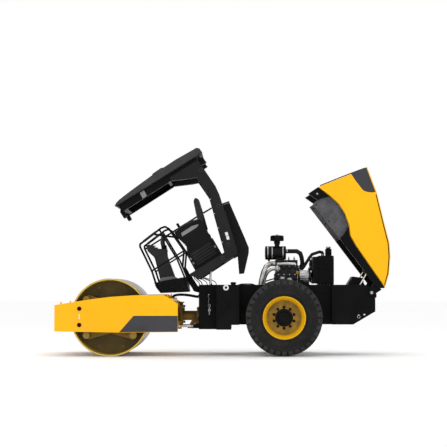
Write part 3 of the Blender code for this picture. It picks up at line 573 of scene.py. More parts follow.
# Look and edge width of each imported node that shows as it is
CAD_LOOKS = (
    ("yellow", 0.004, "drum_frame"),
    ("joint", 0.004, "pivot_yoke"),
    ("yellow", 0.003, "drum_support_left drum_support_right"),
    ("black", 0.003, "scraper_front scraper_rear rear_frame hub_left hub_right hood_frame"),
    ("drum", 0.003, "drum_shell"),
    ("black", 0.008, "hydraulic_tank fuel_tank"),
    ("black", 0.004, "tail_frame radiator platform_floor roof_frame"),
    ("trim", 0.008, "battery_box"),
    ("cast", 0.003, "rear_axle"),
    ("cast", 0.006, "engine"),
    ("trim", 0.006, "air_cleaner rear_bulkhead"),
    ("hose", 0.0, "intake_hose radiator_hose"),
    ("pipe", 0.0, "exhaust_pipe"),
    ("joint", 0.003, "centre_joint"),
    ("rim", 0.002, "rim_left rim_right"),
    ("grey", 0.008, "rops_frame"),
    ("panel", 0.02, "steering_console"),
    ("roof", 0.02, "canopy_roof"),
    ("trim", 0.005, "front_lamps rear_lamps"),
    ("black", 0.0, "handrail_left handrail_right"),
    ("trim", 0.018, "seat_pedestal"),
    ("trim", 0.003, "travel_lever"),
    ("yellow", 0.006, "hood_shell"),
    ("liner", 0.004, "hood_liner_left hood_liner_right"),
    (
        "black",
        0.002,
        "tilt_cylinder_barrel steering_cylinder_left_barrel "
        "steering_cylinder_right_barrel",
    ),
    (
        "bright",
        0.0,
        "tilt_cylinder_rod steering_cylinder_left_rod hood_strut_left_rod "
        "steering_cylinder_right_rod hood_strut_right_rod",
    ),
    ("trim", 0.001, "hood_strut_left_barrel hood_strut_right_barrel"),
)


# Drum end


def frame_details():
    """Bushed holes with painted shade in their bores, bolts, blank decals and weld beads on the drum frame.
    """
    face = PLATE_Y
    decal = Shape().prism(
        [(-1.606, 0.381), (-1.383, 0.637), (-0.694, 0.637), (-0.694, 0.389)], -face - 0.0014, -face
    )
    decal.mirrored().piece("frame_decals", "front_body", "decal")
    bush, shade_sheet = Shape(), Shape()
    for z in (0.748, 0.493):
        collar = [
            (-0.004, 0.034), (-0.004, 0.046), (0.005, 0.046), (0.008, 0.043), (0.008, 0.037),
            (0.004, 0.034),
        ]
        bush.lathe((-2.23, -face, z), (0, -1, 0), collar, 40)
        # painted shade: a black disc fills each bore
        shade_sheet.lathe((-2.23, -face, z), (0, -1, 0), disc(0.035, 0.002, -0.002), 40)
    bush.mirrored().piece("frame_bushes", "front_body", "yellow")
    shade_sheet.mirrored().piece("frame_bush_bore_shade", "front_body", "trim")
    tag = Shape().box((-2.238, -2.222), (-face - 0.001, -face), (0.585, 0.66))
    tag.mirrored().piece("frame_tags", "front_body", "label", 0.0004)
    spots = [(-2.53, -face, 0.715), (-2.53, -face, 0.45), (-2.1, -face, 0.715), (-2.1, -face, 0.45)]
    spots += [(-1.45, -face, 0.8), (-1.17, -face, 0.8), (-1.02, -face, 0.71), (-0.9, -face, 0.8)]
    bolts = Shape().bolts(spots, (0, -1, 0), 0.01)
    bolts.mirrored().piece("frame_side_bolts", "front_body", "yellow", 0.001)
    bead = Shape()
    inner = face - 0.036
    for x0, x1, z in ((-2.615, -2.462, 0.782), (-1.058, -0.768, 0.902)):
        path = [(x0 + (x1 - x0) * i / 12, -inner, z) for i in range(13)]
        bead.pipe(path, 0.0045, 8, 4, 0.0012)
    for x, low, high in ((-2.458, 0.425, 0.775), (-1.062, 0.455, 0.895)):
        path = [(x, -inner, low + (high - low) * i / 18) for i in range(19)]
        bead.pipe(path, 0.0045, 8, 4, 0.0012)
    bead.mirrored().piece("frame_welds", "front_body", "yellow")
    cover = Shape().box((-1.035, -0.885), (-0.42, -0.18), (0.9, 0.906))
    cover.mirrored().box((-1.035, -0.885), (-0.1, 0.1), (0.9, 0.906))
    cover.piece("crossmember_covers", "front_body", "yellow", 0.002)
    corners = [(x, y, 0.906) for x in (-1.02, -0.9) for y in (-0.4, -0.2, -0.08, 0.08, 0.2, 0.4)]
    Shape().bolts(corners, (0, 0, 1), 0.008).piece("crossmember_bolts", "front_body", "zinc", 0.0006)
    eye = Shape()
    for x, z in ((-2.54, 0.78), (-0.86, 0.9)):
        eye.box((x - 0.012, x + 0.012), (-0.74, -0.64), (z, z + 0.03))
        eye.ring((x, -0.69, z + 0.035), (1, 0, 0), 0.034, 0.009)
    eye.mirrored().piece("lifting_eyes", "front_body", "yellow", 0.002)
    nose = [(-2.62, y, z) for y in (-0.74, -0.62) for z in (0.49, 0.71)]
    Shape().bolts(nose, (-1, 0, 0), 0.012).mirrored().piece("nose_bolts", "front_body", "yellow", 0.001)


def drum_mounts():
    """A lobed plate on each spindle, with rubber buffers between it and the frame."""
    spider, pads, caps, bolts = Shape(), Shape(), Shape(), Shape()
    outline = []
    lobes = (37, 143, 217, 323)
    for degrees, waist in zip(lobes, (53, 37, 53, 37)):
        for turn, reach in ((-8, 0.5), (0, 0.515), (8, 0.5), (waist, 0.25)):
            a = math.radians(degrees + turn)
            outline.append((DRUM.x + reach * math.cos(a), DRUM.z + reach * math.sin(a)))
    spider.prism(outline, -0.665, -0.645)
    for degrees in lobes:
        angle = math.radians(degrees)
        x, z = DRUM.x + 0.46 * math.cos(angle), DRUM.z + 0.46 * math.sin(angle)
        rib = [
            (0.0, 0.0), (0.0, 0.05), (0.02, 0.054), (0.05, 0.044), (0.11, 0.044), (0.14, 0.054),
            (0.16, 0.05),
        ]
        pads.lathe((x, -0.675, z), (0, -1, 0), rib + [(0.16, 0.0)], 28)
        caps.lathe((x, -0.665, z), (0, -1, 0), disc(0.056, 0.01), 28)
        caps.lathe((x, -0.835, z), (0, -1, 0), disc(0.056, 0.01), 28)
        bolts.bolts([(x, -0.645, z)], (0, 1, 0), 0.011)
    bolts.bolts([(x, -0.62, z) for x, z in around(10, 0.19, (DRUM.x, DRUM.z))], (0, 1, 0), 0.01)
    # the spider plates and mount caps inside the drum take the painted-shade yellow
    spider.mirrored().piece("drum_spider_plates", "front_body", "shaded_yellow", 0.003)
    pads.mirrored().piece("drum_rubber_mounts", "front_body", "hose")
    caps.mirrored().piece("drum_mount_caps", "front_body", "shaded_yellow", 0.001)
    bolts.mirrored().piece("drum_mount_bolts", "front_body", "zinc", 0.0008)


def drum_details():
    """Weld beads between the drum's webs and its skin and round the hubs, and bolts on the webs."""
    bead = Shape().ring((DRUM.x, -0.561, DRUM.z), (0, 1, 0), 0.5835, 0.006, 96, 8)
    bead.ring((DRUM.x, -0.561, DRUM.z), (0, 1, 0), 0.096, 0.005, 48, 8)
    bead.mirrored().piece("drum_welds", "drum", "drum")
    spots = [(x, -0.56, z) for x, z in around(8, 0.5, (DRUM.x, DRUM.z), 22.5)]
    cover = Shape().bolts(spots, (0, -1, 0), 0.012)
    # the balance bolts inside the drum take the painted-shade yellow
    cover.mirrored().piece("drum_balance_bolts", "drum", "shaded_yellow", 0.001)


def scraper_details():
    """A rubber blade held by a clamp strip and bolts on each scraper beam."""
    strip, blade, bolts = Shape(), Shape(), Shape()
    for node, way in (("scraper_front", 1), ("scraper_rear", -1)):
        low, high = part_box(node)
        x0, x1 = (low.x, high.x) if way > 0 else (high.x, low.x)
        top = high.z
        span = (low.y + 0.01, high.y - 0.01)
        edges = sorted((x0 + way * 0.012, x1 - way * 0.002))
        blade.box(edges, span, (top, top + 0.006))
        strip.box(sorted((x0 + way * 0.018, x0 + way * 0.05)), span, (top + 0.006, top + 0.012))
        for i in range(13):
            y = span[0] + 0.05 + (span[1] - span[0] - 0.1) * i / 12
            bolts.bolts([(x0 + way * 0.034, y, top + 0.012)], (0, 0, 1), 0.008)
    blade.piece("scraper_blades", "front_body", "hose", 0.001)
    strip.piece("scraper_clamps", "front_body", "zinc", 0.001)
    bolts.piece("scraper_bolts", "front_body", "zinc", 0.0006)


def joint_details():
    """Oil hoses over the steering pin, and their fittings."""
    hoses, nuts, collars = Shape(), Shape(), Shape()
    sizes = ((-0.155, 0.021), (-0.105, 0.021), (-0.055, 0.021), (0.06, 0.011), (0.1, 0.011), (0.15, 0.015))
    for y, radius in sizes:
        path = [(-0.8, y, 0.902), (-0.798, y, 0.925), (-0.765, y, 0.95), (-0.68, y, 0.962)]
        path += [(-0.56, y, 0.955), (-0.46, y, 0.938), (-0.41, y, 0.93), (-0.376, y, 0.93)]
        hoses.pipe(path, radius, 12, 7)
        nuts.rod((-0.8, y, 0.9), (-0.8, y, 0.914), radius * 1.3, 6)
        nuts.rod((-0.8, y, 0.914), (-0.799, y, 0.92), radius * 1.12, 20)
        collars.rod((-0.388, y, 0.93), (-0.3752, y, 0.93), radius * 1.35, 6)
    hoses.piece("joint_hoses", "front_body", "hose", 0.0, ("rear_body", (-0.765, 0, 0.93), (-0.4, 0, 0.93)))
    nuts.piece("joint_hose_fittings_front", "front_body", "zinc", 0.0006)
    collars.piece("joint_hose_fittings_rear", "rear_body", "zinc", 0.0006)
    spots = [(-0.41, y, z) for y, z in around(8, 0.118, (0.0, 0.626), 22.5)]
    Shape().bolts(spots, (-1, 0, 0), 0.01).piece("swivel_bolts", "rear_body", "zinc", 0.0008)
    cap = Shape().lathe(
        (-0.665, 0, 0.83), (0, 0, 1), [(0, 0), (0, 0.048), (0.01, 0.048), (0.014, 0.04), (0.014, 0)]
    )
    cap.bolts(
        [(-0.665 + 0.032 * s, 0.032 * t, 0.844) for s, t in ((1, 0), (-1, 0), (0, 1), (0, -1))],
        (0, 0, 1),
        0.006,
    )
    cap.piece("steering_pin_cap", "front_body", "joint", 0.001)
    yoke = [(-0.739, y, z) for y in (-0.215, 0.215) for z in (0.6, 0.7, 0.8)]
    Shape().bolts(yoke, (1, 0, 0), 0.013).piece("yoke_bolts", "front_body", "zinc", 0.001)
    lines = Shape()
    for side in (-1, 1):
        path = [
            (-0.365, side * 0.245, 0.497), (-0.36, side * 0.24, 0.53), (-0.39, side * 0.215, 0.57),
            (-0.376, side * 0.2, 0.62),
        ]
        lines.pipe(path, 0.009, 10, 6)
    lines.piece("steering_cylinder_hoses", "rear_body", "hose")


# Rear frame


def tank_details():
    """Doors, filler caps, a sight ring and glass, seams and handles on the tanks."""
    face = TANK_Y
    door = Shape().box((-0.056, 0.236), (-face - 0.005, -face), (0.57, 0.933))
    door.mirrored().piece("tank_doors", "rear_body", "black", 0.004)
    spots = [(x, -face - 0.005, z) for x in (-0.038, 0.218) for z in (0.59, 0.75, 0.913)]
    Shape().bolts(spots, (0, -1, 0), 0.008).mirrored().piece("tank_door_bolts", "rear_body", "trim", 0.0006)
    ring = [(0, 0.02), (0, 0.045), (0.006, 0.045), (0.01, 0.041), (0.01, 0.024), (0.006, 0.02)]
    sight = Shape().lathe((0.06, -face, 1.076), (0, -1, 0), ring, 40)
    sight.piece("sight_ring", "rear_body", "label")
    glass = Shape().lathe(
        (0.06, -face, 1.076), (0, -1, 0), [(0, 0), (0, 0.02), (0.005, 0.018), (0.006, 0)], 28
    )
    glass.piece("sight_glass", "rear_body", "trim")
    caps = Shape()
    for y in (-0.545, 0.545):
        neck = [
            (0, 0), (0, 0.036), (0.012, 0.036), (0.012, 0.046), (0.03, 0.046), (0.036, 0.04), (0.036, 0),
        ]
        caps.lathe((0.175, y, CHASSIS_TOP), (0, 0, 1), neck, 36)
        caps.box((0.14, 0.21), (y - 0.006, y + 0.006), (CHASSIS_TOP + 0.034, CHASSIS_TOP + 0.042))
    caps.piece("filler_caps", "rear_body", "trim", 0.001)
    straps = Shape()
    for z in (0.52, 1.02):
        straps.box((-0.094, 0.272), (-face - 0.003, -face), (z - 0.004, z + 0.004))
    straps.mirrored().piece("tank_seams", "rear_body", "black", 0.001)
    grips = Shape()
    for y in (-face, face):
        out = math.copysign(1, y)
        grips.pipe(
            [
                (0.1, y + 0.004 * out, 0.865), (0.1, y + 0.028 * out, 0.87), (0.1, y + 0.03 * out, 0.84),
                (0.1, y + 0.03 * out, 0.79), (0.1, y + 0.028 * out, 0.76), (0.1, y + 0.004 * out, 0.765),
            ],
            0.006,
            10,
            5,
        )
    grips.piece("door_handles", "rear_body", "trim")


def chassis_details():
    """Bolts, an articulation lock pin on its lanyard, and hoses in the open front bay."""
    side = -CHASSIS_Y
    bolts = Shape().bolts([(-0.345, side, z) for z in (0.46, 0.6, 0.74, 0.9, 1.06)], (0, -1, 0), 0.01)
    bolts.bolts([(x, side, 0.99) for x in (0.36, 0.5, 0.64, 1.33, 1.47, 1.61)], (0, -1, 0), 0.01)
    bolts.bolts([(x, side, 0.56) for x in (1.3, 1.45, 1.6)], (0, -1, 0), 0.01)
    bolts.mirrored().piece("chassis_bolts", "rear_body", "black", 0.0008)
    pin = Shape().rod((-0.205, side - 0.016, 0.64), (-0.205, side - 0.016, 0.77), 0.011, 20, 0.004)
    pin.ring((-0.205, side - 0.016, 0.79), (0, 1, 0), 0.018, 0.004)
    pin.ring((-0.205, side - 0.016, 0.655), (0, 0, 1), 0.015, 0.003)
    pin.box((-0.225, -0.185), (side - 0.01, side), (0.7, 0.735))
    pin.piece("lock_pin", "rear_body", "zinc", 0.001)
    cord = [(-0.205, side - 0.014, 0.808), (-0.222, side - 0.01, 0.85), (-0.212, side - 0.008, 0.9)]
    cord += [(-0.226, side - 0.008, 0.94), (-0.215, side - 0.006, 0.965)]
    Shape().pipe(cord, 0.0035, 8, 6).bolts([(-0.215, side, 0.965)], (0, -1, 0), 0.007).piece(
        "lock_pin_lanyard", "rear_body", "zinc"
    )
    tray = Shape().box((-0.335, -0.305), (-0.34, 0.34), (CHASSIS_TOP - 0.05, CHASSIS_TOP - 0.02))
    tray.piece("hose_tray", "rear_body", "black", 0.002)
    lines = Shape()
    for i in range(5):
        y = 0.05 + 0.055 * i
        path = [(0.55, 0.02 + 0.02 * i, 1.08), (0.5, y * 0.7, 1.126), (0.38, y, 1.133), (0.26, y, 1.118)]
        path += [(0.14, y, 1.02), (0.02, y + 0.01, 0.86), (-0.16, y, 0.7), (-0.3, y, 0.62)]
        lines.pipe(path, 0.01, 10, 6)
    lines.piece("pump_hoses", "rear_body", "hose")
    valve = Shape().box((-0.3, -0.1), (0.04, 0.33), (0.575, 0.66))
    valve.box((-0.25, -0.15), (0.08, 0.29), (0.66, 0.7))
    valve.piece("valve_block", "rear_body", "alloy", 0.005)
    knobs = Shape()
    for i in range(4):
        knobs.rod((-0.2, 0.1 + 0.055 * i, 0.7), (-0.2, 0.1 + 0.055 * i, 0.755), 0.019, 20, 0.004)
    knobs.piece("valve_solenoids", "rear_body", "trim")


def platform_lines():
    """Thin hoses and wires between the chassis and the underside of the tilted platform."""
    lines = Shape()
    starts = (
        (-0.26, -0.05, 1.02), (-0.24, 0.02, 1.03), (-0.15, -0.1, 1.05), (-0.08, 0.04, 1.06),
        (0.0, -0.06, 1.05),
    )
    for i, (x, y, z) in enumerate(starts):
        reach = Vector((-0.345 + 0.012 * i, y * 1.3, 1.262))
        here = Vector((x, y, z)) - Vector((0.1, 0, 0.02))
        middle = REST["platform"] @ reach
        path = [
            here - Vector((0.06, 0, 0.08)),
            here,
            here.lerp(middle, 0.4) + Vector((0.03 + 0.02 * i, 0, 0.03)),
        ]
        path += [here.lerp(middle, 0.8) + Vector((0.012 * i, 0, 0.0)), middle]
        lines.pipe(path, 0.0065 + 0.0015 * (i % 2), 8, 7)
    ahead = REST["platform"] @ Vector((-0.34, 0, 1.262))
    low = Vector((-0.3, 0, 0.98))
    lines.piece("platform_hoses", "rear_body", "hose", 0.0, ("platform", low, ahead), smooth=True)


def tail_details():
    """Seam bolts, tie-down rings, lamps and blank plates on the tail."""
    face = TAIL_Y
    bolts = Shape().bolts([(1.785, -face, z) for z in (0.55, 0.68, 0.81, 0.94, 1.06)], (0, -1, 0), 0.011)
    bolts.bolts([(x, -face, 0.545) for x in (1.88, 1.98, 2.06)], (0, -1, 0), 0.009)
    bolts.mirrored().piece("tail_bolts", "rear_body", "black", 0.0008)
    ring = Shape().ring((2.158, -face - 0.006, 0.616), (0, 1, 0), 0.022, 0.005)
    ring.box((2.15, 2.166), (-face - 0.012, -face), (0.63, 0.656))
    ring.mirrored().piece("tie_down_rings", "rear_body", "zinc", 0.001)
    tag = Shape().box((2.235, 2.262), (-face - 0.001, -face), (0.64, 0.66))
    tag.mirrored().piece("tail_tags", "rear_body", "label", 0.0003)
    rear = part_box("tail_frame")[1].x
    housing = Shape().box((rear, rear + 0.018), (-0.5, -0.36), (0.915, 0.985))
    housing.mirrored().piece("tail_lamp_housings", "rear_body", "trim", 0.004)
    red = Shape().box((rear + 0.018, rear + 0.026), (-0.495, -0.43), (0.921, 0.979))
    red.mirrored().piece("tail_lamps", "rear_body", "red", 0.003)
    amber = Shape().box((rear + 0.018, rear + 0.026), (-0.426, -0.366), (0.921, 0.979))
    amber.mirrored().piece("tail_indicators", "rear_body", "amber", 0.003)
    plate = Shape().box((rear, rear + 0.002), (0.12, 0.34), (0.905, 0.985))
    plate.piece("blank_plate", "rear_body", "label", 0.001)
    reflector = Shape().lathe(
        (rear, -0.45, 0.8), (1, 0, 0), [(0, 0), (0, 0.032), (0.006, 0.03), (0.008, 0)], 28
    )
    reflector.mirrored().piece("reflectors", "rear_body", "red")
    lid = Shape().prism([(1.985, 1.1), (2.275, 1.12), (2.275, 1.14), (1.985, 1.12)], -0.246, 0.246)
    lid.piece("battery_box_seam", "rear_body", "trim", 0.003)
    latch = Shape().box((2.262, 2.28), (-0.03, 0.03), (1.06, 1.13))
    latch.box((1.978, 1.992), (-0.2, -0.14), (1.05, 1.11)).box((1.978, 1.992), (0.14, 0.2), (1.05, 1.11))
    latch.piece("battery_box_latches", "rear_body", "zinc", 0.002)
    cable = Shape()
    for y in (-0.1, 0.08):
        path = [
            (1.992, y, 1.00), (1.95, y, 1.01), (1.9, y * 1.5, 0.94), (1.85, y * 2, 0.85),
            (1.8, y * 2, 0.78), (1.772, y * 2, 0.76),
        ]
        cable.pipe(path, 0.01, 10, 6)
    cable.piece("battery_cables", "rear_body", "hose")


# Wheels


def tread_block(shape, across, angle, half_angle, ys, radii, skew=0.0):
    """A block on the tread, from a foot at the first radius to a smaller top at the second."""
    rings = []
    for radius, shrink in ((radii[0], 1.0), (radii[1] - 0.004, 0.94), (radii[1], 0.84)):
        ring = []
        for a, y in ((-1, ys[0]), (1, ys[0]), (1, ys[1]), (-1, ys[1])):
            middle = (ys[0] + ys[1]) / 2
            spot_y = middle + (y - middle) * shrink
            lean = skew * (spot_y - middle) / max(ys[1] - ys[0], 1e-6)
            turn = angle + a * half_angle * shrink + lean
            x, z = WHEEL.x + radius * math.cos(turn), WHEEL.z + radius * math.sin(turn)
            ring.append((x, across * spot_y, z))
        rings.append(ring)
    shape.loft(rings)


def tyre(side, word):
    """Carcass with sidewall rings, three staggered rows of lozenge blocks, and shoulder blocks."""
    low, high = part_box("tyre_" + word)
    near, far = sorted((abs(low.y), abs(high.y)))
    middle = (near + far) / 2
    out = (0, side, 0)
    outer = [(far - 0.035, 0.34), (far - 0.02, 0.352), (far - 0.022, 0.366), (far - 0.006, 0.38)]
    outer += [
        (far - 0.001, 0.42), (far - 0.004, 0.444), (far, 0.45), (far - 0.001, 0.458), (far - 0.007, 0.464),
    ]
    outer += [(far - 0.009, 0.5), (far - 0.014, 0.53), (far - 0.034, 0.562), (far - 0.06, 0.576)]
    profile = outer + [(middle, 0.582)] + [(2 * middle - a, r) for a, r in reversed(outer)]
    carcass = Shape().lathe((WHEEL.x, 0, WHEEL.z), out, profile, 120)
    blocks = Shape()
    count = 34
    pitch = 2 * math.pi / count
    for i in range(count):
        for row, y in enumerate((-0.068, 0.0, 0.068)):
            angle = pitch * (i + 0.5 * (row % 2))
            span = (middle + y - 0.029, middle + y + 0.029)
            tread_block(blocks, side, angle, pitch * 0.4, span, (0.572, 0.6025), pitch * 0.5)
        for end, edge in ((1, far), (-1, near)):
            angle = pitch * (i + 0.5)
            inner_y, outer_y = edge - end * 0.082, edge - end * 0.03
            tread_block(blocks, side, angle, pitch * 0.37, sorted((inner_y, outer_y)), (0.56, 0.594))
            lug = sorted((edge - end * 0.05, edge - end * 0.013))
            tread_block(blocks, side, angle, pitch * 0.33, lug, (0.515, 0.568))
    made = carcass.piece("tyre_carcass_" + word, word + "_wheel", "tyre")
    blocks.piece("tyre_tread_" + word, word + "_wheel", "tread")
    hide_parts("tyre_" + word)


def wheel_details(side, word):
    """Wheel nuts, hub bolts, a valve and a lock ring."""
    centre = Vector((WHEEL.x, 0, WHEEL.z))
    disc, cap = side * 0.715, side * 0.82
    nuts, studs = Shape(), Shape()
    for x, z in around(10, 0.165, (centre.x, centre.z), 18):
        nuts.bolts([(x, disc, z)], (0, side, 0), 0.0185)
        studs.rod((x, disc + side * 0.015, z), (x, disc + side * 0.03, z), 0.008, 12, 0.002)
    nuts.piece("wheel_nuts_" + word, word + "_wheel", "trim", 0.001)
    studs.lathe(
        (centre.x, disc, centre.z),
        (0, side, 0),
        [(0, 0.08), (0, 0.14), (0.006, 0.14), (0.012, 0.128), (0.012, 0.08)],
        48,
    )
    studs.piece("wheel_studs_" + word, word + "_wheel", "trim")
    spots = [(x, cap, z) for x, z in around(8, 0.064, (centre.x, centre.z))]
    bolts = Shape().bolts(spots, (0, side, 0), 0.006)
    bolts.lathe(
        (centre.x, cap, centre.z), (0, side, 0), [(0, 0), (0, 0.026), (0.008, 0.022), (0.01, 0)], 28
    )
    bolts.piece("hub_bolts_" + word, word + "_wheel", "trim", 0.0006)
    lock = Shape().ring((centre.x, side * 0.885, centre.z), (0, side, 0), 0.331, 0.006, 96, 10)
    lock.piece("rim_lock_ring_" + word, word + "_wheel", "yellow")
    valve = Shape().rod(
        (centre.x + 0.2, disc, centre.z + 0.18),
        (centre.x + 0.205, disc + side * 0.05, centre.z + 0.185),
        0.006,
        12,
        0.002,
    )
    valve.piece("tyre_valve_" + word, word + "_wheel", "hose")


# Engine


def engine_details():
    """Ribs, manifold, filters, starter, injectors, belt, fan and wiring round the engine block."""
    ribs, cover = Shape(), Shape()
    for i in range(7):
        x = 0.862 + 0.05 * i
        ribs.pair((x, x + 0.014), (0.217, 0.232), (0.8, 1.27))
    for z in (0.86, 1.02, 1.16, 1.27):
        ribs.pair((0.84, 1.22), (0.217, 0.229), (z, z + 0.014))
    ribs.piece("engine_ribs", "rear_body", "cast", 0.003)
    for x in CYLINDERS:
        cover.box((x - 0.035, x + 0.035), (-0.152, 0.152), (1.44, 1.512))
        cover.box((x - 0.015, x + 0.015), (-0.16, 0.16), (1.36, 1.42))
    cover.piece("rocker_covers", "rear_body", "trim", 0.01)
    bolts = Shape()
    for x in CYLINDERS:
        bolts.bolts([(x, side * 0.152, 1.475) for side in (-1, 1)], (0, -1, 0), 0.008)
        bolts.bolts([(x, -0.2205, 0.8), (x, -0.2205, 1.285)], (0, -1, 0), 0.009)
    bolts.piece("engine_bolts", "rear_body", "zinc", 0.0006)
    injectors, lines = Shape(), Shape()
    for i, x in enumerate(CYLINDERS):
        injectors.rod((x, 0.1, 1.5), (x, 0.1, 1.552), 0.013, 12, 0.003)
        injectors.rod((x, 0.1, 1.552), (x, 0.1, 1.562), 0.017, 6)
        foot = 1.02 + 0.012 * i
        lines.pipe(
            [
                (x, 0.1, 1.56), (x, 0.13, 1.585), (x, 0.18, 1.57), (x + 0.01, 0.235, 1.46),
                (foot, 0.262, 1.32), (foot, 0.262, 1.24),
            ],
            0.0038,
            8,
            6,
        )
    injectors.piece("injectors", "rear_body", "zinc", 0.0006)
    lines.piece("fuel_lines", "rear_body", "zinc")
    pump = Shape().box((0.99, 1.1), (0.225, 0.305), (1.1, 1.24)).rod(
        (1.1, 0.265, 1.16), (1.17, 0.265, 1.16), 0.036, 24, 0.006
    )
    pump.piece("injection_pump", "rear_body", "alloy", 0.006)
    filters, rims = Shape(), Shape()
    for x, z in ((0.96, 1.075), (1.075, 1.055)):
        body = [(0, 0), (0, 0.034), (0.012, 0.043), (0.13, 0.043), (0.138, 0.038), (0.138, 0)]
        filters.lathe((x, -0.285, z), (0, 0, 1), body, 32)
        rims.lathe(
            (x, -0.285, z + 0.138),
            (0, 0, 1),
            [(0, 0), (0, 0.046), (0.03, 0.046), (0.036, 0.04), (0.036, 0)],
            32,
        )
        rims.box((x - 0.03, x + 0.03), (-0.285, -0.215), (z + 0.15, z + 0.172))
    filters.piece("oil_filters", "rear_body", "trim")
    rims.piece("filter_heads", "rear_body", "alloy", 0.002)
    starter = Shape().rod((0.7, -0.275, 1.035), (0.835, -0.275, 1.035), 0.047, 28, 0.008)
    starter.rod((0.715, -0.275, 1.105), (0.8, -0.275, 1.105), 0.027, 24, 0.005)
    starter.box((0.8, 0.835), (-0.3, -0.215), (0.99, 1.13))
    starter.piece("starter_motor", "rear_body", "alloy", 0.003)
    log, flanges = Shape(), Shape()
    log.pipe(
        [(0.875, -0.186, 1.452), (0.96, -0.19, 1.456), (1.06, -0.19, 1.456), (1.165, -0.186, 1.452)],
        0.026,
        16,
        8,
    )
    for x in CYLINDERS:
        log.pipe([(x, -0.19, 1.452), (x, -0.172, 1.44), (x, -0.156, 1.42)], 0.02, 14, 5)
        flanges.box((x - 0.032, x + 0.032), (-0.162, -0.15), (1.385, 1.452))
    log.piece("exhaust_manifold", "rear_body", "pipe")
    flanges.piece("manifold_flanges", "rear_body", "cast", 0.003)
    turbo = Shape().lathe(
        (0.845, -0.205, 1.375),
        (1, 0, 0),
        [(0, 0), (0, 0.03), (0.012, 0.052), (0.04, 0.056), (0.062, 0.04), (0.08, 0.026), (0.08, 0)],
        32,
    )
    turbo.ring((0.88, -0.205, 1.375), (1, 0, 0), 0.04, 0.02, 32)
    turbo.piece("turbocharger", "rear_body", "alloy")
    second = Shape().pipe(
        [
            (0.66, -0.17, 1.02), (0.665, -0.175, 1.16), (0.7, -0.18, 1.28), (0.75, -0.19, 1.345),
            (0.8, -0.202, 1.372), (0.85, -0.205, 1.375),
        ],
        0.027,
        16,
        7,
    )
    second.piece("air_pipe", "rear_body", "pipe")
    clamps = Shape()
    for spot, way, radius in (
        ((0.6035, -0.25, 1.02), (0, 0, 1), 0.0415),
        ((0.7, -0.21, 1.41), (0.7, 0.7, 0.55), 0.042),
        ((0.822, -0.11, 1.46), (1, 0, 0), 0.042),
        ((0.662, -0.171, 1.05), (0, 0, 1), 0.0285),
    ):
        clamps.lathe(spot, way, band(radius - 0.003, radius, 0.008), 32)
    clamps.piece("pipe_clamps", "rear_body", "zinc", 0.0006)
    cage, coil = Shape(), Shape()
    centre = (1.22, -0.19, 1.27)
    shell = [
        (0.02, 0.06), (0.02, 0.08), (0.06, 0.084), (0.12, 0.084), (0.158, 0.08), (0.182, 0.06),
        (0.182, 0.0), (0.02, 0.0),
    ]
    cage.lathe(centre, (1, 0, 0), shell, 36)
    for y, z in around(14, 0.081, centre[1:]):
        cage.rod((1.245, y, z), (1.372, y, z), 0.0065, 8)
    cage.piece("alternator_housing", "rear_body", "alloy", 0.001)
    coil.lathe(
        (1.4, -0.19, 1.27), (1, 0, 0), [(0, 0), (0, 0.036), (0.008, 0.03), (0.016, 0.036), (0.016, 0)], 28
    )
    coil.lathe((1.38, 0, 1.1), (1, 0, 0), [(0, 0), (0, 0.088), (0.01, 0.08), (0.02, 0.088), (0.02, 0)], 40)
    coil.lathe(
        (1.385, 0.05, 1.33), (1, 0, 0), [(0, 0), (0, 0.062), (0.009, 0.056), (0.018, 0.062), (0.018, 0)], 32
    )
    coil.rod((1.21, 0.05, 1.33), (1.39, 0.05, 1.33), 0.022, 16)
    coil.piece("belt_pulleys", "rear_body", "zinc", 0.0006)
    belt = Shape()
    ways = [(-0.19, 1.27, 0.034), (0.05, 1.33, 0.06), (0.0, 1.1, 0.086)]
    path = []
    for y, z, radius in ways:
        away = Vector((y + 0.047, z - 1.233)).normalized()
        base = math.atan2(away.y, away.x)
        for turn in (0.95, 0.0, -0.95):
            path.append((1.394, y + radius * math.cos(base + turn), z + radius * math.sin(base + turn)))
    belt.pipe(path + path[:1], 0.006, 8, 5)
    belt.piece("fan_belt", "rear_body", "hose")
    fan = Shape().rod((1.402, 0.0, FAN_Z), (1.425, 0.0, FAN_Z), 0.052, 28, 0.006)
    for i in range(7):
        a = 2 * math.pi * i / 7
        tip, root = 0.195, 0.045
        blade = []
        for reach, half in ((root, 0.16), (tip, 0.22)):
            for end, x in ((-half, 1.405), (half, 1.432)):
                blade.append(Vector((x, reach * math.cos(a + end), FAN_Z + reach * math.sin(a + end))))
        verts = [fan.mesh.verts.new(p + Vector((dx, 0, 0))) for dx in (0.0, 0.003) for p in blade]
        for face in ((0, 1, 3, 2), (4, 6, 7, 5), (0, 2, 6, 4), (1, 5, 7, 3), (0, 4, 5, 1), (2, 3, 7, 6)):
            fan.mesh.faces.new([verts[k] for k in face])
    fan.piece("cooling_fan", "rear_body", "trim", 0.0006)
    loom = Shape()
    loom.pipe(
        [
            (0.84, -0.238, 1.2), (0.93, -0.246, 1.232), (1.05, -0.25, 1.238), (1.16, -0.246, 1.225),
            (1.24, -0.235, 1.19), (1.3, -0.22, 1.18),
        ],
        0.011,
        10,
        8,
        0.0015,
    )
    loom.pipe(
        [(0.86, 0.238, 1.26), (0.95, 0.245, 1.285), (1.1, 0.245, 1.285), (1.22, 0.235, 1.25)],
        0.011,
        10,
        8,
        0.0015,
    )
    loom.pipe(
        [(1.05, -0.25, 1.238), (1.06, -0.235, 1.32), (1.07, -0.2, 1.38), (1.08, -0.17, 1.395)], 0.006, 8, 6
    )
    loom.pipe(
        [(0.6, -0.1, 1.1), (0.66, -0.13, 1.16), (0.76, -0.15, 1.2), (0.84, -0.16, 1.22)], 0.01, 8, 6, 0.0012
    )
    loom.piece("engine_wiring", "rear_body", "hose")
    ports = Shape().bolts(
        [
            (0.555, 0.12 * math.cos(a), 0.95 + 0.12 * math.sin(a))
            for a in (0.4, 1.2, 2.0, 2.8, 3.6, 4.4, 5.2, 6.0)
        ],
        (-1, 0, 0),
        0.01,
    )
    for y in (-0.07, 0.07):
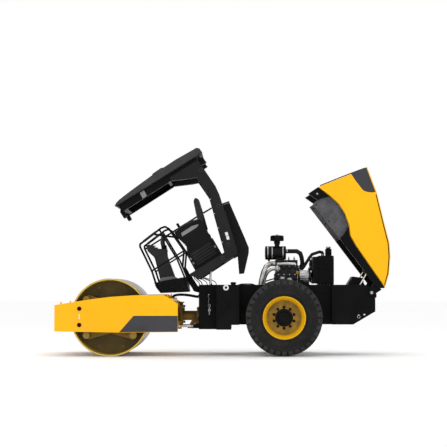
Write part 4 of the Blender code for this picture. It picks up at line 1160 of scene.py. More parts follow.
        ports.rod((0.64, y, 1.09), (0.64, y, 1.145), 0.024, 6)
    ports.piece("hydraulic_pump_ports", "rear_body", "zinc", 0.001)
    dip = Shape().pipe([(1.195, -0.232, 0.98), (1.2, -0.24, 1.15), (1.205, -0.245, 1.3)], 0.005, 8, 6)
    dip.piece("dipstick_tube", "rear_body", "zinc")
    Shape().ring((1.205, -0.245, 1.318), (0, 1, 0), 0.016, 0.004, 24, 8).piece(
        "dipstick_loop", "rear_body", "yellow"
    )


def intake_details():
    """Bands on the air cleaner, a ribbed pre-cleaner bowl and hose clamps."""
    low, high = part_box("air_cleaner")
    z = CLEANER_Z
    bands = Shape()
    for x in (low.x + 0.03, low.x + 0.1, high.x - 0.05):
        bands.lathe((x, 0, z), (1, 0, 0), band(0.106, 0.1135, 0.008), 48)
    bands.box((low.x + 0.022, low.x + 0.038), (-0.125, -0.108), (z - 0.02, z + 0.03))
    bands.piece("air_cleaner_bands", "rear_body", "zinc", 0.001)
    end = Shape().lathe(
        (low.x, 0, z),
        (-1, 0, 0),
        [(-0.002, 0), (-0.002, 0.112), (0.01, 0.108), (0.016, 0.07), (0.016, 0)],
        48,
    )
    end.rod((low.x + 0.05, 0, z - 0.1), (low.x + 0.05, 0, z - 0.135), 0.018, 20, 0.004)
    end.piece("air_cleaner_end", "rear_body", "trim")
    bowl = Shape()
    for x, y in around(28, 0.1045, (PRE_CLEANER_X, 0.0)):
        bowl.rod((x, y, 1.832), (x, y, 1.89), 0.005, 6)
    bowl.lathe(
        (PRE_CLEANER_X, 0, 1.905),
        (0, 0, 1),
        [(0, 0), (0, 0.112), (0.006, 0.112), (0.016, 0.08), (0.02, 0.018), (0.02, 0)],
        48,
    )
    bowl.rod((PRE_CLEANER_X, 0, 1.922), (PRE_CLEANER_X, 0, 1.938), 0.01, 12, 0.003)
    bowl.lathe(
        (PRE_CLEANER_X, 0, 1.775), (0, 0, 1), [(0, 0.04), (0, 0.047), (0.05, 0.052), (0.05, 0.04)], 32
    )
    bowl.piece("pre_cleaner", "rear_body", "trim", 0.0006)
    clamps = Shape()
    for spot, way, radius in (
        ((1.045, 0, 1.664), (1, 0, 0), 0.037),
        ((1.235, 0, 1.4), (1, 0, 0.3), 0.037),
        ((1.25, -0.08, 1.35), (1, 0, 0), 0.0265),
        ((1.609, -0.2, 1.603), (0, 0, 1), 0.0265),
    ):
        clamps.lathe(spot, way, band(radius - 0.002, radius, 0.007), 32)
        clamps.box(
            (spot[0] - 0.006, spot[0] + 0.006), (spot[1] - radius - 0.01, spot[1] - radius),
            (spot[2] - 0.008, spot[2] + 0.008),
        )
    clamps.piece("hose_clamps", "rear_body", "zinc", 0.0006)


def radiator_details():
    """Fins, seam straps, cap and bolts on the radiator."""
    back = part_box("radiator")[1].x
    fins = Shape()
    for i in range(46):
        y = -0.3 + 0.6 * i / 45
        fins.box((back, back + 0.004), (y - 0.0015, y + 0.0015), (1.17, 1.55))
    for i in range(12):
        z = 1.175 + 0.37 * i / 11
        fins.box((back, back + 0.003), (-0.3, 0.3), (z - 0.002, z + 0.002))
    fins.piece("radiator_fins", "rear_body", "alloy")
    straps = Shape()
    for y in (-0.332, 0.33):
        straps.box((1.6, 1.635), (y, y + 0.002), (1.13, 1.58)).box(
            (1.7, 1.735), (y, y + 0.002), (1.13, 1.58)
        )
    for z in (1.16, 1.37, 1.56):
        straps.box((1.545, 1.778), (-0.333, -0.33), (z, z + 0.014))
    straps.piece("radiator_straps", "rear_body", "black", 0.001)
    bolts = Shape().bolts(
        [(x, -0.332, z) for x in (1.56, 1.765) for z in (1.18, 1.3, 1.42, 1.54)], (0, -1, 0), 0.007
    )
    bolts.mirrored().piece("radiator_bolts", "rear_body", "grey", 0.0006)
    cap = Shape().lathe(
        (1.712, 0, 1.724),
        (0, 0, 1),
        [(-0.006, 0), (-0.006, 0.038), (0.004, 0.038), (0.01, 0.03), (0.01, 0)],
        24,
    )
    cap.box((1.675, 1.749), (-0.007, 0.007), (1.728, 1.738))
    cap.piece("radiator_cap", "rear_body", "zinc", 0.001)
    guard = Shape()
    for radius in (0.06, 0.1, 0.14, 0.18, 0.21):
        guard.ring((1.4475, 0, FAN_Z), (1, 0, 0), radius, 0.0025, 56, 6)
    for i in range(8):
        a = math.pi * i / 8
        c, s = math.cos(a), math.sin(a)
        guard.rod((1.447, -0.212 * c, FAN_Z - 0.212 * s), (1.447, 0.212 * c, FAN_Z + 0.212 * s), 0.0025, 6)
    guard.piece("fan_guard", "rear_body", "trim")


# Platform


def slanted(spot, along, across, corners):
    """An outline drawn on a slant: steps along and across from a spot in the side view."""
    return [tuple(spot + along * a + across * b) for a, b in corners]


def roof_details():
    """Ribs on the roof shell, its rim, a headlining, lamp lenses and brackets."""
    rim = Shape()
    edge = [(-0.8, 2.812), (-0.806, 2.836), (-0.803, 2.842), (-0.795, 2.82), (0.806, 2.82), (0.806, 2.812)]
    rim.prism(edge, -0.786, -0.78).mirrored()
    rim.piece("roof_rims", "platform", "trim", 0.002)
    rib = [
        (-0.7, 2.878), (-0.473, 2.9005), (-0.005, 2.9345), (0.4, 2.9435), (0.74, 2.93), (0.74, 2.938),
        (0.4, 2.951), (-0.005, 2.943), (-0.473, 2.91), (-0.7, 2.884),
    ]
    rail = Shape().prism(rib, -0.5, -0.44).prism(rib, -0.2, -0.14)
    rail.mirrored().piece("roof_ribs", "platform", "roof", 0.003)
    hump = Shape().prism([(-0.06, 2.931), (-0.03, 2.956), (0.14, 2.962), (0.17, 2.937)], -0.7, 0.7)
    hump.piece("roof_hump", "platform", "roof", 0.006)
    lining = Shape()
    for x0, x1 in ((-0.65, -0.29), (-0.27, 0.09), (0.17, 0.54)):
        lining.box((x0, x1), (-0.62, 0.62), (2.792, 2.8095))
    lining.piece("headlining", "platform", "trim", 0.006)
    patch = Shape().prism([(-0.37, 2.699), (-0.292, 2.701), (-0.285, 2.8), (-0.362, 2.8)], -0.744, -0.7405)
    patch.piece("rail_patches", "platform", "pale", 0.001)
    lens, bezel, bracket = Shape(), Shape(), Shape()
    for y in (-0.52, 0.52):
        lens.box((-0.788, -0.78), (y - 0.066, y + 0.066), (2.612, 2.718))
        for z0, z1 in ((2.604, 2.612), (2.718, 2.726)):
            bezel.box((-0.792, -0.779), (y - 0.076, y + 0.076), (z0, z1))
        for side in (-1, 1):
            bezel.box((-0.792, -0.779), sorted((y + side * 0.068, y + side * 0.076)), (2.604, 2.726))
        bracket.box((-0.766, -0.744), (y - 0.088, y - 0.081), (2.64, 2.76)).box(
            (-0.766, -0.744), (y + 0.081, y + 0.088), (2.64, 2.76)
        )
        bracket.rod((-0.755, y - 0.096, 2.665), (-0.755, y + 0.096, 2.665), 0.007, 12, 0.002)
    for y in (-0.44, 0.44):
        lens.box((0.785, 0.791), (y - 0.066, y + 0.066), (2.682, 2.768))
        bezel.box((0.784, 0.794), (y - 0.074, y + 0.074), (2.674, 2.682)).box(
            (0.784, 0.794), (y - 0.074, y + 0.074), (2.768, 2.776)
        )
    lens.piece("work_lamp_lenses", "platform", "clear", 0.002)
    bezel.piece("work_lamp_bezels", "platform", "trim", 0.002)
    bracket.piece("work_lamp_brackets", "platform", "black", 0.001)
    fins = Shape()
    for y in (-0.52, 0.52):
        for i in range(7):
            fins.box(
                (-0.7355, -0.7285), (y - 0.06 + 0.02 * i - 0.003, y - 0.06 + 0.02 * i + 0.003), (2.615, 2.7)
            )
    fins.piece("work_lamp_fins", "platform", "trim", 0.001)


def post_details():
    """Round bosses, bolts, blank double labels and slots of painted shade on the posts, and a lead along
    the left one.
    """
    face = POST_Y
    bosses, dimples = Shape(), Shape()
    for x, z in ((0.58, 1.97), (0.386, 1.3625), (0.645, 2.6), (0.2, 1.235)):
        dome = [(0, 0), (0, 0.033), (0.004, 0.033), (0.008, 0.028), (0.008, 0.0)]
        bosses.lathe((x, -face, z), (0, -1, 0), dome, 32)
        dimples.bolts([(x, -face - 0.008, z)], (0, -1, 0), 0.012)
    bosses.mirrored().piece("post_bosses", "platform", "panel", 0.001)
    dimples.mirrored().piece("post_bolts", "platform", "trim", 0.0008)
    label = Shape()
    along, across = Vector((0.256, 0.967)), Vector((0.967, -0.256))
    middle = Vector((0.447, 1.495))
    for low, high in ((-0.06, -0.004), (0.004, 0.06)):
        corners = ((low, -0.022), (low, 0.022), (high, 0.022), (high, -0.022))
        label.prism(slanted(middle, along, across, corners), -face - 0.001, -face)
    label.mirrored().piece("post_labels", "platform", "label", 0.0003)
    # painted shade: a black patch in place of each slot's opening
    shaded_slots = Shape()
    for a in (0.13, 0.17):
        corners = ((a, -0.018), (a, 0.018), (a + 0.012, 0.018), (a + 0.012, -0.018))
        shaded_slots.prism(slanted(middle, along, across, corners), -face - 0.0006, -face)
    shaded_slots.mirrored().piece("post_slot_shade", "platform", "trim")
    lead = Shape().pipe(
        [(0.3, -0.745, 1.36), (0.4, -0.746, 1.7), (0.5, -0.746, 2.04), (0.585, -0.746, 2.3)], 0.005, 8, 10
    )
    lead.piece("post_lead", "platform", "hose")
    clips = Shape()
    for t in (0.1, 0.35, 0.6, 0.85):
        x, z = 0.3 + 0.265 * t, 1.36 + 0.9 * t
        clips.box((x - 0.012, x + 0.012), (-0.753, -0.74), (z - 0.006, z + 0.006))
    clips.piece("post_lead_clips", "platform", "zinc", 0.001)


def bulkhead_details():
    """Pale edging, a quilted pad and fasteners on the bulkhead."""
    edge = Shape().prism([(0.604, 1.987), (0.606, 1.994), (0.77, 1.959), (0.768, 1.952)], -0.5, 0.5)
    edge.prism([(0.6, 1.962), (0.603, 1.97), (0.758, 1.936), (0.755, 1.928)], -0.503, -0.4995)
    edge.piece("bulkhead_edging", "platform", "pale", 0.001)
    pad = Shape().prism([(0.412, 1.2), (0.432, 1.195), (0.634, 1.925), (0.621, 1.928)], -0.4, 0.4)
    pad.piece("bulkhead_pad", "platform", "liner", 0.006)
    places = ((0.4, 0.93), (0.6, 1.14), (0.66, 1.36), (0.7, 1.62), (0.74, 1.86), (0.42, 1.2), (0.52, 1.55))
    screws = Shape().bolts([(x, -BULKHEAD_Y, z) for x, z in places], (0, -1, 0), 0.009)
    screws.mirrored().piece("bulkhead_screws", "platform", "grey", 0.0008)
    seam = Shape().prism([(0.455, 1.22), (0.463, 1.218), (0.64, 1.87), (0.632, 1.872)], -0.502, -0.4995)
    seam.mirrored().piece("bulkhead_seams", "platform", "panel")


def floor_details():
    """Tread ribs on the deck and toe plate, a pedal and bolts."""
    ribs = Shape()
    for i in range(24):
        y = -0.56 + 1.12 * i / 23
        ribs.box((-0.44, -0.285), (y - 0.012, y + 0.012), (1.3, 1.3035))
    ribs.piece("deck_treads", "platform", "trim", 0.0012)
    toe = Shape()
    slope = Vector((0.449, -0.173)).normalized()
    up = Vector((0.173, 0.449)).normalized()
    for i in range(7):
        for side in (-1, 1):
            spot = Vector((-0.868, 1.4595)) + slope * (0.05 + 0.06 * i)
            corners = ((0, -0.001), (0.022, -0.001), (0.022, 0.0035), (0, 0.0035))
            toe.prism(slanted(spot, slope, up, corners), *sorted((side * 0.17, side * 0.54)))
    toe.piece("toe_treads", "platform", "trim", 0.001)
    bolts = Shape().bolts(
        [(x, -0.58, z) for x, z in ((-0.88, 1.36), (-0.72, 1.27), (-0.56, 1.19), (-0.86, 1.42))],
        (0, -1, 0),
        0.009,
    )
    bolts.mirrored().piece("toe_box_bolts", "platform", "grey", 0.0006)
    pedal = Shape()
    spot = Vector((-0.8, 1.4335))
    corners = ((0, 0.04), (0.1, 0.062), (0.1, 0.07), (0, 0.05))
    pedal.prism(slanted(spot, slope, up, corners), 0.19, 0.27)
    stem = ((0.03, 0.0), (0.05, 0.0), (0.05, 0.052), (0.03, 0.048))
    pedal.prism(slanted(spot, slope, up, stem), 0.22, 0.24)
    pedal.piece("brake_pedal", "platform", "trim", 0.002)


def console_details():
    """Gauge face, switches, boot, column bellows and seams."""
    normal = Vector((0.6, 0, 0.8)).normalized()
    face = Shape()
    dash = [
        (-0.739, 2.072), (-0.688, 2.0655), (-0.603, 1.938), (-0.61, 1.934), (-0.694, 2.056),
        (-0.741, 2.064),
    ]
    face.prism(dash, -0.115, 0.115)
    face.piece("dash_face", "platform", "trim", 0.003)
    gauges, glass = Shape(), Shape()
    for y in (-0.062, 0.062):
        centre = Vector((-0.648, y, 2.004)) + normal * 0.002
        gauges.lathe(
            centre,
            normal,
            [(0, 0), (0, 0.036), (0.01, 0.036), (0.012, 0.031), (0.008, 0.03), (0.008, 0)],
            36,
        )
        glass.lathe(
            centre + normal * 0.0085, normal, [(0, 0), (0, 0.029), (0.0012, 0.028), (0.0012, 0)], 32
        )
    gauges.piece("gauge_bezels", "platform", "trim")
    glass.piece("gauge_faces", "platform", "clear")
    keys = Shape()
    for i in range(5):
        centre = Vector((-0.612, -0.08 + 0.04 * i, 1.951)) + normal * 0.001
        keys.lathe(centre, normal, [(0, 0), (0, 0.011), (0.009, 0.01), (0.009, 0)], 20)
    keys.piece("dash_switches", "platform", "pale", 0.0006)
    collar = Shape()
    start = Vector((-0.545, 0, 1.83))
    axis = (Vector(WHEEL_HUB) - start).normalized()
    for i in range(7):
        collar.lathe(
            start + axis * (0.016 * i),
            axis,
            [(0, 0.03), (0.004, 0.056 - 0.002 * i), (0.012, 0.056 - 0.002 * i), (0.016, 0.03)],
            28,
        )
    collar.piece("column_bellows", "platform", "hose")
    boot = Shape()
    base = [(-0.862, 1.4615), (-0.585, 1.3545), (-0.6, 1.385), (-0.64, 1.43), (-0.8, 1.5), (-0.848, 1.495)]
    boot.prism(base, -0.15, 0.15)
    boot.piece("console_boot", "platform", "pale", 0.014)
    seam = Shape()
    for y in (-0.1315, 0.1295):
        seam.prism([(-0.768, 1.66), (-0.762, 1.66), (-0.7, 1.82), (-0.706, 1.82)], y, y + 0.002)
        seam.prism([(-0.742, 1.84), (-0.52, 1.8), (-0.52, 1.805), (-0.742, 1.846)], y, y + 0.002)
    seam.piece("console_seams", "platform", "trim")


def steering_wheel():
    """A padded rim with finger grips, three spokes, a hub cap and a spinner knob."""
    hub, normal = Vector(WHEEL_HUB), WHEEL_NORMAL
    side = normal.orthogonal().normalized()
    other = normal.cross(side)
    rim = Shape()
    rings = []
    sides, turns = 96, 14
    for i, (c, s) in enumerate(around(sides)):
        thick = 0.0132 + 0.0008 * math.cos(24 * 2 * math.pi * i / sides)
        out = c * side + s * other
        spots = around(turns, thick, (0.182, 0.01))
        rings.append([rim.mesh.verts.new(hub + normal * up + out * away) for away, up in spots])
    for i in range(sides):
        for j in range(turns):
            k, m = (i + 1) % sides, (j + 1) % turns
            rim.mesh.faces.new((rings[i][j], rings[k][j], rings[k][m], rings[i][m]))
    spokes = Shape()
    for i in range(3):
        turn = Matrix.Rotation(math.radians(120 * i), 3, normal)
        reach, wide = turn @ side, turn @ other
        profile = ((0.025, 0.026), (0.09, 0.015), (0.176, 0.018))
        low = [hub + normal * 0.006 + reach * a + wide * h for a, h in profile]
        low += [hub + normal * 0.006 + reach * a - wide * h for a, h in reversed(profile)]
        spokes.loft([low, [p + normal * 0.008 for p in low]])
    spokes.lathe(hub, normal, [(0, 0), (0, 0.04), (0.018, 0.04), (0.026, 0.032), (0.028, 0)], 36)
    knob = hub + side * 0.182 + normal * 0.022
    spokes.rod(knob, knob + normal * 0.02, 0.007, 12)
    spokes.lathe(
        knob + normal * 0.018,
        normal,
        [(0, 0), (0, 0.018), (0.006, 0.024), (0.022, 0.024), (0.03, 0.016), (0.032, 0)],
        28,
    )
    rim.piece("steering_wheel_rim", "steering_wheel_body", "trim")
    done = spokes.piece("steering_wheel_hub", "steering_wheel_body", "trim", 0.002)
    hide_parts("steering_wheel")


def pedestal_details():
    """Louvres with painted shade between them, switch pods, armrests and blank plates on the seat pedestal.
    """
    slats, shade_sheet, tags = Shape(), Shape(), Shape()
    for i in range(5):
        z = 1.355 + 0.045 * i
        slats.prism([(-0.2, z), (0.17, z), (0.17, z + 0.016), (-0.2, z + 0.016)], -0.512, -0.5)
        # painted shade: black strips between the louvres
        shade_sheet.box((-0.195, 0.165), (-0.5015, -0.4995), (z + 0.016, z + 0.04))
    slats.mirrored().piece("pedestal_louvres", "platform", "panel", 0.004)
    shade_sheet.mirrored().piece("pedestal_slot_shade", "platform", "hose")
    for x, z in ((-0.235, 1.42), (-0.235, 1.5), (0.195, 1.46)):
        tags.box((x - 0.014, x + 0.014), (-0.5012, -0.5), (z - 0.018, z + 0.018))
    tags.mirrored().piece("pedestal_tags", "platform", "pale", 0.0003)
    rest = Shape()
    for side in (-1, 1):
        edges = sorted((side * 0.31, side * 0.492))
        rest.prism(
            [
                (-0.165, 2.0), (-0.022, 1.999), (0.198, 1.949), (0.225, 1.945), (0.225, 1.975), (0.0, 2.03),
                (-0.165, 2.028),
            ],
            *edges,
        )
    rest.piece("armrests", "platform", "vinyl", 0.012)
    strip = Shape().prism(
        [(-0.165, 1.872), (0.1, 1.872), (0.155, 1.888), (0.155, 1.905), (0.06, 1.932), (-0.15, 1.928)],
        -0.507,
        -0.4995,
    )
    strip.mirrored().piece("pod_strips", "platform", "pale", 0.004)
    seams = Shape()
    for z in (1.6, 1.765):
        seams.box((-0.235, 0.225), (-0.5012, -0.499), (z - 0.002, z + 0.002))
    seams.mirrored().piece("pedestal_seams", "platform", "trim")
    keys = Shape()
    for i in range(3):
        keys.pair((-0.225, -0.205), (0.335 + 0.05 * i, 0.365 + 0.05 * i), (1.9995, 2.007))
    keys.piece("pod_switches", "platform", "pale", 0.002)
    gaiter = Shape()
    for i in range(6):
        gaiter.lathe(
            (-0.14, 0.4, 2.0 + 0.007 * i),
            (0, 0, 1),
            [(0, 0.004), (0.001, 0.034 - 0.004 * i), (0.006, 0.034 - 0.004 * i), (0.007, 0.004)],
            24,
        )
    gaiter.piece("lever_gaiter", "platform", "hose")
    knob = Shape().lathe(
        (-0.133, 0.4, 2.07),
        (0, 0, 1),
        [(0, 0), (0, 0.014), (0.02, 0.021), (0.05, 0.024), (0.068, 0.018), (0.074, 0)],
        28,
    )
    knob.piece("lever_knob", "platform", "trim")


PAD_INSET = 0.01
PAD_ROUNDING = 0.024
PAD_CAP = 0.009
VOXEL = 0.007
CHANNEL_WIDTH = 0.007
SIDE_SEAM_Y = 0.135
SIDE_SEAM_DEPTH = 0.006
SIDE_SEAM_WIDTH = 0.006
CLOTH_FRAMES = 20


def puffed(name, outline, half, look, channels, node):
    """A stuffed pad: a rounded form blown up by a cloth simulation, then sewn down along its channels.

    Each channel is (point, direction in the side view, depth), a line of stitching right across the pad.
    """
    middle = sum((Vector(p) for p in outline), Vector((0, 0))) / len(outline)
    drawn = [
        tuple(middle + (Vector(p) - middle) * (1 - PAD_INSET / (Vector(p) - middle).length))
        for p in outline
    ]
    shape = Shape().prism(drawn, -half + PAD_INSET, half - PAD_INSET)
    bmesh.ops.bevel(
        shape.mesh, geom=shape.mesh.edges[:], offset=PAD_ROUNDING, segments=4, affect="EDGES", profile=0.6
    )
    pad = shape.thing(name, "platform", look)
    remesh = pad.modifiers.new("voxels", "REMESH")
    remesh.mode = "VOXEL"
    remesh.voxel_size = VOXEL
    bake(pad)
    rest = [v.co.copy() for v in pad.data.vertices]
    blow_up(pad)
    for vertex, start in zip(pad.data.vertices, rest):
        move = vertex.co - start
        if move.length > PAD_CAP:
            vertex.co = start + move.normalized() * PAD_CAP
    back = REST["platform"].inverted()
    for vertex in pad.data.vertices:
        closed = back @ vertex.co
        push = 0.0
        for (x, z), (dx, dz), depth in channels:
            away = abs((closed.x - x) * dz - (closed.z - z) * dx)
            push += depth * math.exp(-((away / CHANNEL_WIDTH) ** 2))
        for y in (-SIDE_SEAM_Y, SIDE_SEAM_Y):
            push += SIDE_SEAM_DEPTH * math.exp(-(((closed.y - y) / SIDE_SEAM_WIDTH) ** 2))
        inward = Vector((middle.x - closed.x, 0, middle.y - closed.z))
        if inward.length > 0.02:
            closed += inward.normalized() * push
        vertex.co = REST["platform"] @ closed
    pad.data.shade_smooth()
    subdivide = pad.modifiers.new("smooth", "SUBSURF")
    subdivide.levels = subdivide.render_levels = 1
    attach(pad, "platform")
    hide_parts(node)


def bake(thing):
    """Replaces a thing's mesh with what its modifiers make."""
    bpy.context.view_layer.update()
    graph = bpy.context.evaluated_depsgraph_get()
    made = bpy.data.meshes.new_from_object(thing.evaluated_get(graph))
    thing.modifiers.clear()
    thing.data = made


def blow_up(thing):
    """Some frames of cloth under a little inner pressure, without gravity."""
    cloth = thing.modifiers.new("cloth", "CLOTH")
    cloth.settings.quality = 6
    cloth.settings.mass = 0.3
    cloth.settings.tension_stiffness = 15
    cloth.settings.compression_stiffness = 15
    cloth.settings.use_pressure = True
    cloth.settings.uniform_pressure_force = 4.0
    cloth.settings.effector_weights.gravity = 0.0
    cloth.point_cache.frame_start = 1
    cloth.point_cache.frame_end = CLOTH_FRAMES
    for number in range(1, CLOTH_FRAMES + 1):
        bpy.context.scene.frame_set(number)
    bake(thing)
    bpy.context.scene.frame_set(1)


def seat():
    """Cushion and backrest pads, and a lap belt with its buckle."""
    cushion = [(-0.19, 1.603), (0.235, 1.603), (0.235, 1.742), (-0.165, 1.742), (-0.196, 1.7)]
    lines = [((-0.06, 1.75), (0, 1), 0.006), ((0.09, 1.75), (0, 1), 0.006)]
    puffed("seat_cushion_pad", cushion, 0.245, "vinyl", lines, "seat_cushion")
    back = [
        (0.125, 1.749), (0.232, 1.749), (0.335, 2.08), (0.38, 2.285), (0.345, 2.325), (0.302, 2.296),
        (0.203, 2.05),
    ]
    lines = [
        ((0.16, 1.9), (1, -0.3), 0.006), ((0.21, 2.06), (1, -0.3), 0.007), ((0.25, 2.17), (1, -0.3), 0.006),
    ]
    puffed("seat_back_pad", back, 0.235, "vinyl", lines, "seat_back")
    belt = Shape()
    for side in (-1, 1):
        path = [
            (0.2, side * 0.262, 1.62), (0.17, side * 0.258, 1.7), (0.12, side * 0.232, 1.763),
            (0.06, side * 0.14, 1.772), (0.03, side * 0.035, 1.77),
        ]
        spots = smooth_path(path, 8)
        rings = []
        for i, spot in enumerate(spots):
            before, after = spots[max(i - 1, 0)], spots[min(i + 1, len(spots) - 1)]
            along = (after - before).normalized()
            wide = Vector((1, 0, 0.25)).normalized()
            wide = (wide - along * wide.dot(along)).normalized()
            thin = along.cross(wide)
            ring = [
                spot + wide * a + thin * b
                for a, b in ((-0.023, -0.001), (0.023, -0.001), (0.023, 0.001), (-0.023, 0.001))
            ]
            rings.append(ring)
        belt.loft(rings)
    belt.piece("lap_belt", "platform", "webbing")
    buckle = Shape().box((-0.002, 0.062), (-0.045, 0.045), (1.764, 1.784))
    buckle.piece("belt_buckle", "platform", "trim", 0.005)


def rail_details():
    """Clamps and grips on the handrails."""
    clamps = Shape()
    for side in (-1, 1):
        y = side * RAIL_Y
        for x, z in (
            (-0.915, 1.43), (-0.905, 1.47), (-0.855, 1.66), (-0.258, 1.66), (-0.415, 1.38), (-0.46, 1.26),
        ):
            clamps.box((x - 0.02, x + 0.02), (y - 0.021, y + 0.021), (z - 0.014, z + 0.014))
    clamps.piece("rail_clamps", "platform", "black", 0.005)
    grip = Shape()
    for side in (-1, 1):
        y = side * RAIL_Y
        path = [(-0.72, y, 2.1258), (-0.6, y, 2.1374), (-0.48, y, 2.149)]
        grip.pipe(path, 0.0195, 14, 12, 0.001)
    grip.piece("rail_grips", "platform", "hose")


# Hood


def hood_details():
    """A blank side decal, edge strip, hem, latches, rear grille, seal, liner quilt and hinge caps."""
    face = HOOD_Y
    decal = Shape()
    curve = [
        (0.664, 1.905), (0.756, 2.155), (0.9, 2.108), (1.05, 2.06), (1.148, 2.03), (1.12, 1.985),
        (1.075, 1.935), (1.03, 1.902), (0.995, 1.89), (0.8, 1.892),
    ]
    decal.prism(curve, -face - 0.0012, -face)
    decal.mirrored().piece("hood_decal", "hood", "decal", 0.0004)
    strip = Shape()
    edge = [(1.185, 2.018), (1.597, 1.83), (1.912, 1.69), (2.084, 1.573), (2.281, 1.392), (2.4, 1.228)]
    inner = [(1.18, 2.004), (1.59, 1.815), (1.903, 1.676), (2.073, 1.561), (2.268, 1.382), (2.386, 1.224)]
    strip.prism(edge + list(reversed(inner)), -face - 0.0012, -face)
    strip.mirrored().piece("hood_edge_strip", "hood", "trim", 0.0004)
    seam = Shape()
    for path in (
        [(1.115, 1.436), (1.3, 1.376), (1.446, 1.288), (1.62, 1.261), (2.375, 1.217)],
        [(0.531, 1.362), (0.745, 1.423), (0.933, 1.455), (1.115, 1.436)],
    ):
        upper = [(x, z + 0.006) for x, z in path]
        seam.prism(path + list(reversed(upper)), -face - 0.001, -face)
    seam.mirrored().piece("hood_hem", "hood", "trim", 0.0003)
    latch = Shape().box((0.56, 0.64), (-0.622, -0.61), (1.255, 1.315))
    latch.mirrored().piece("hood_latches", "hood", "trim", 0.004)
    keyhole = Shape().bolts([(0.6, -0.622, 1.285)], (0, -1, 0), 0.012)
    keyhole.mirrored().piece("latch_locks", "hood", "zinc", 0.0008)
    places = ((0.6, 1.44), (1.00, 1.5), (1.55, 1.325), (2.05, 1.3), (2.33, 1.255))
    screws = Shape().bolts([(x, -face, z) for x, z in places], (0, -1, 0), 0.006)
    screws.mirrored().piece("hood_screws", "hood", "yellow", 0.0006)
    grille, shade = Shape(), Shape()
    slope = [(2.105, 1.572), (2.291, 1.401), (2.392, 1.26)]
    # painted shade: a black sheet behind the grille bars
    shade.prism(
        [(x + 0.002, z + 0.002) for x, z in slope] + [(x - 0.002, z - 0.002) for x, z in reversed(slope)],
        -0.4,
        0.4,
    )
    shade.piece("rear_grille_painted_shade", "hood", "hose")
    for i in range(16):
        t = 2 * i / 15
        k = min(int(t), 1)
        spot = Vector(slope[k]).lerp(Vector(slope[k + 1]), t - k)
        grille.box((spot.x - 0.004, spot.x + 0.006), (-0.4, 0.4), (spot.y - 0.002, spot.y + 0.01))
    grille.piece("rear_grille_bars", "hood", "trim", 0.002)
    lips = Shape()
    for y in (-0.42, 0.4):
        lips.prism(
            [(2.095, 1.579), (2.104, 1.59), (2.3, 1.41), (2.402, 1.264), (2.394, 1.256), (2.291, 1.399)],
            y,
            y + 0.02,
        )
    lips.piece("rear_grille_frame", "hood", "trim", 0.003)
    seal = Shape()
    for side in (-1, 1):
        path = [
            (0.526, side * 0.598, 1.4), (0.6, side * 0.598, 1.66), (0.68, side * 0.598, 1.93),
            (0.745, side * 0.598, 2.135),
        ]
        seal.pipe(path, 0.008, 10, 8)
    seal.pipe([(0.752, -0.59, 2.158), (0.752, 0.0, 2.158), (0.752, 0.59, 2.158)], 0.007, 10, 6)
    seal.piece("hood_seal", "hood", "hose")
    pads = Shape()
    for side in (-1, 1):
        for x0, z0, x1, z1 in ((0.74, 1.2, 1.04, 1.5), (1.08, 1.2, 1.36, 1.44)):
            y = side * LINER_Y
            pads.prism([(x0, z0), (x1, z0), (x1, z1), (x0, z1)], *sorted((y, y - side * 0.006)))
    pads.piece("liner_quilt", "hood", "liner", 0.003)
    studs = Shape()
    for x, z in ((0.73, 1.17), (0.73, 1.4), (1.06, 1.17), (1.06, 1.52), (1.38, 1.16), (1.36, 1.42)):
        studs.bolts([(x, -0.545, z), (x, -0.5185, z)], (0, -1, 0), 0.01)
    studs.mirrored().piece("liner_studs", "hood", "trim", 0.0008)
    hinge = Shape().bolts([(HOOD_PIN[0], -0.6, HOOD_PIN[2])], (0, -1, 0), 0.02)
    hinge.mirrored().piece("hood_hinge_caps", "hood", "zinc", 0.001)


# Cylinders and struts


def cylinder_details():
    """Glands and ports on the cylinders and gas struts, found from each rod's slide."""
    sets = [("tilt_rod", "tilt_cylinder", "tilt_barrel")]
    for _, word in SIDES:
        sets.append(("steering_rod_" + word, "steering_cylinder_" + word, "rear_body"))
        sets.append(("hood_rod_" + word, "hood_strut_" + word, "hood_barrel_" + word))
    for slide, cylinder, body in sets:
        joint, barrel, rod = slide + "_slide", cylinder + "_barrel", cylinder + "_rod"
        axis = Vector(JOINTS[joint]["axis"]).normalized()
        both = [frame["nodes"][node] for node in (barrel, rod)]
        tube, bar = ([n.matrix_world @ v.co for v in n.data.vertices] for n in both)
        if sum(p.dot(axis) for p in bar) / len(bar) < sum(p.dot(axis) for p in tube) / len(tube):
            axis = -axis
        end = max(p.dot(axis) for p in tube)
        mouth = [p for p in tube if p.dot(axis) > end - 0.0005]
        centre = sum(mouth, Vector()) / len(mouth)
        wide = max((p - centre).length for p in mouth)
        gland = Shape().lathe(
            centre,
            axis,
            [
                (-0.026, wide - 0.001), (-0.026, wide + 0.003), (-0.004, wide + 0.003),
                (-0.001, wide + 0.001), (-0.001, wide - 0.001),
            ],
            28,
        )
        for i in range(6):
            out = axis.orthogonal().normalized()
            out.rotate(Matrix.Rotation(math.radians(60 * i), 3, axis))
            gland.rod(
                centre - axis * 0.013 + out * wide, centre - axis * 0.013 + out * (wide + 0.005), 0.004, 8
            )
        gland.piece(barrel + "_gland", body, "zinc")
        if barrel.startswith("hood"):
            continue
        up = Vector((0, 0, 1)) - axis * axis.z
        up.normalize()
        port = Shape()
        base = min(p.dot(axis) for p in tube)
        for back in (0.055, (end - base) * 0.72):
            spot = centre - axis * back + up * (wide - 0.004)
            port.rod(spot, spot + up * 0.018, 0.012, 6)
            port.rod(spot + up * 0.016, spot + up * 0.034, 0.008, 12)
        port.piece(barrel + "_ports", body, "zinc", 0.0008)


# Setting


CAMERA_PLACE = (0.219, -24.85, 1.116)
CAMERA_TILT = math.radians(92.3)
CAMERA_TURN = math.radians(0.47)
CAMERA_LENS_MM = 123.5
LAMP_AIM = Vector((0, 0, 1.2))


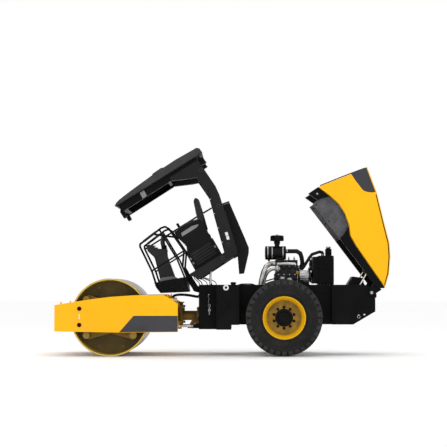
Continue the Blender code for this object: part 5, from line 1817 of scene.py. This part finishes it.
def stage():
    """A plain pale floor, soft studio light and the camera."""
    bpy.ops.mesh.primitive_plane_add(size=160, location=(0, 0, 0))
    floor = bpy.context.object
    floor.name = "floor"
    material = bpy.data.materials.new("floor")
    material.use_nodes = True
    nodes, links = material.node_tree.nodes, material.node_tree.links
    skin = nodes["Principled BSDF"]
    skin.inputs["Roughness"].default_value = 0.85
    coords = nodes.new("ShaderNodeTexCoord")
    speckle = nodes.new("ShaderNodeTexNoise")
    speckle.inputs["Scale"].default_value = 30
    ramp = nodes.new("ShaderNodeValToRGB")
    ramp.color_ramp.elements[0].color = (0.96, 0.96, 0.96, 1)
    ramp.color_ramp.elements[1].color = (0.98, 0.98, 0.98, 1)
    links.new(coords.outputs["Object"], speckle.inputs["Vector"])
    links.new(speckle.outputs["Fac"], ramp.inputs["Fac"])
    links.new(ramp.outputs["Color"], skin.inputs["Base Color"])
    floor.data.materials.append(material)
    world = bpy.data.worlds.new("studio")
    world.use_nodes = True
    world.node_tree.nodes["Background"].inputs["Color"].default_value = (1, 1, 1, 1)
    world.node_tree.nodes["Background"].inputs["Strength"].default_value = 1.0
    bpy.context.scene.world = world
    bpy.context.scene.view_settings.view_transform = "Standard"
    for name, place, size, power in (
        ("key", (-4.5, -9.0, 8.0), 5.0, 190),
        ("fill", (7.5, -8.0, 5.0), 6.0, 70),
        ("top", (0.5, 1.5, 9.5), 6.0, 150),
    ):
        lamp = bpy.data.lights.new(name, "AREA")
        lamp.size = size
        lamp.energy = power
        thing = bpy.data.objects.new(name, lamp)
        thing.location = place
        aim = LAMP_AIM - Vector(place)
        thing.rotation_euler = aim.to_track_quat("-Z", "Y").to_euler()
        bpy.context.scene.collection.objects.link(thing)
    lens = bpy.data.cameras.new("camera")
    lens.lens = CAMERA_LENS_MM
    lens.sensor_width = 36
    lens.clip_end = 200
    camera = bpy.data.objects.new("camera", lens)
    camera.location = CAMERA_PLACE
    camera.rotation_euler = (CAMERA_TILT, 0, CAMERA_TURN)
    bpy.context.scene.collection.objects.link(camera)
    bpy.context.scene.camera = camera


for look, width, nodes in CAD_LOOKS:
    for node in nodes.split():
        dress(node, look, width)

frame_details()
drum_mounts()
drum_details()
scraper_details()
joint_details()
tank_details()
chassis_details()
platform_lines()
tail_details()
for side, word in SIDES:
    tyre(side, word)
    wheel_details(side, word)
engine_details()
intake_details()
radiator_details()
roof_details()
post_details()
bulkhead_details()
floor_details()
console_details()
steering_wheel()
pedestal_details()
seat()
rail_details()
hood_details()
cylinder_details()
stage()
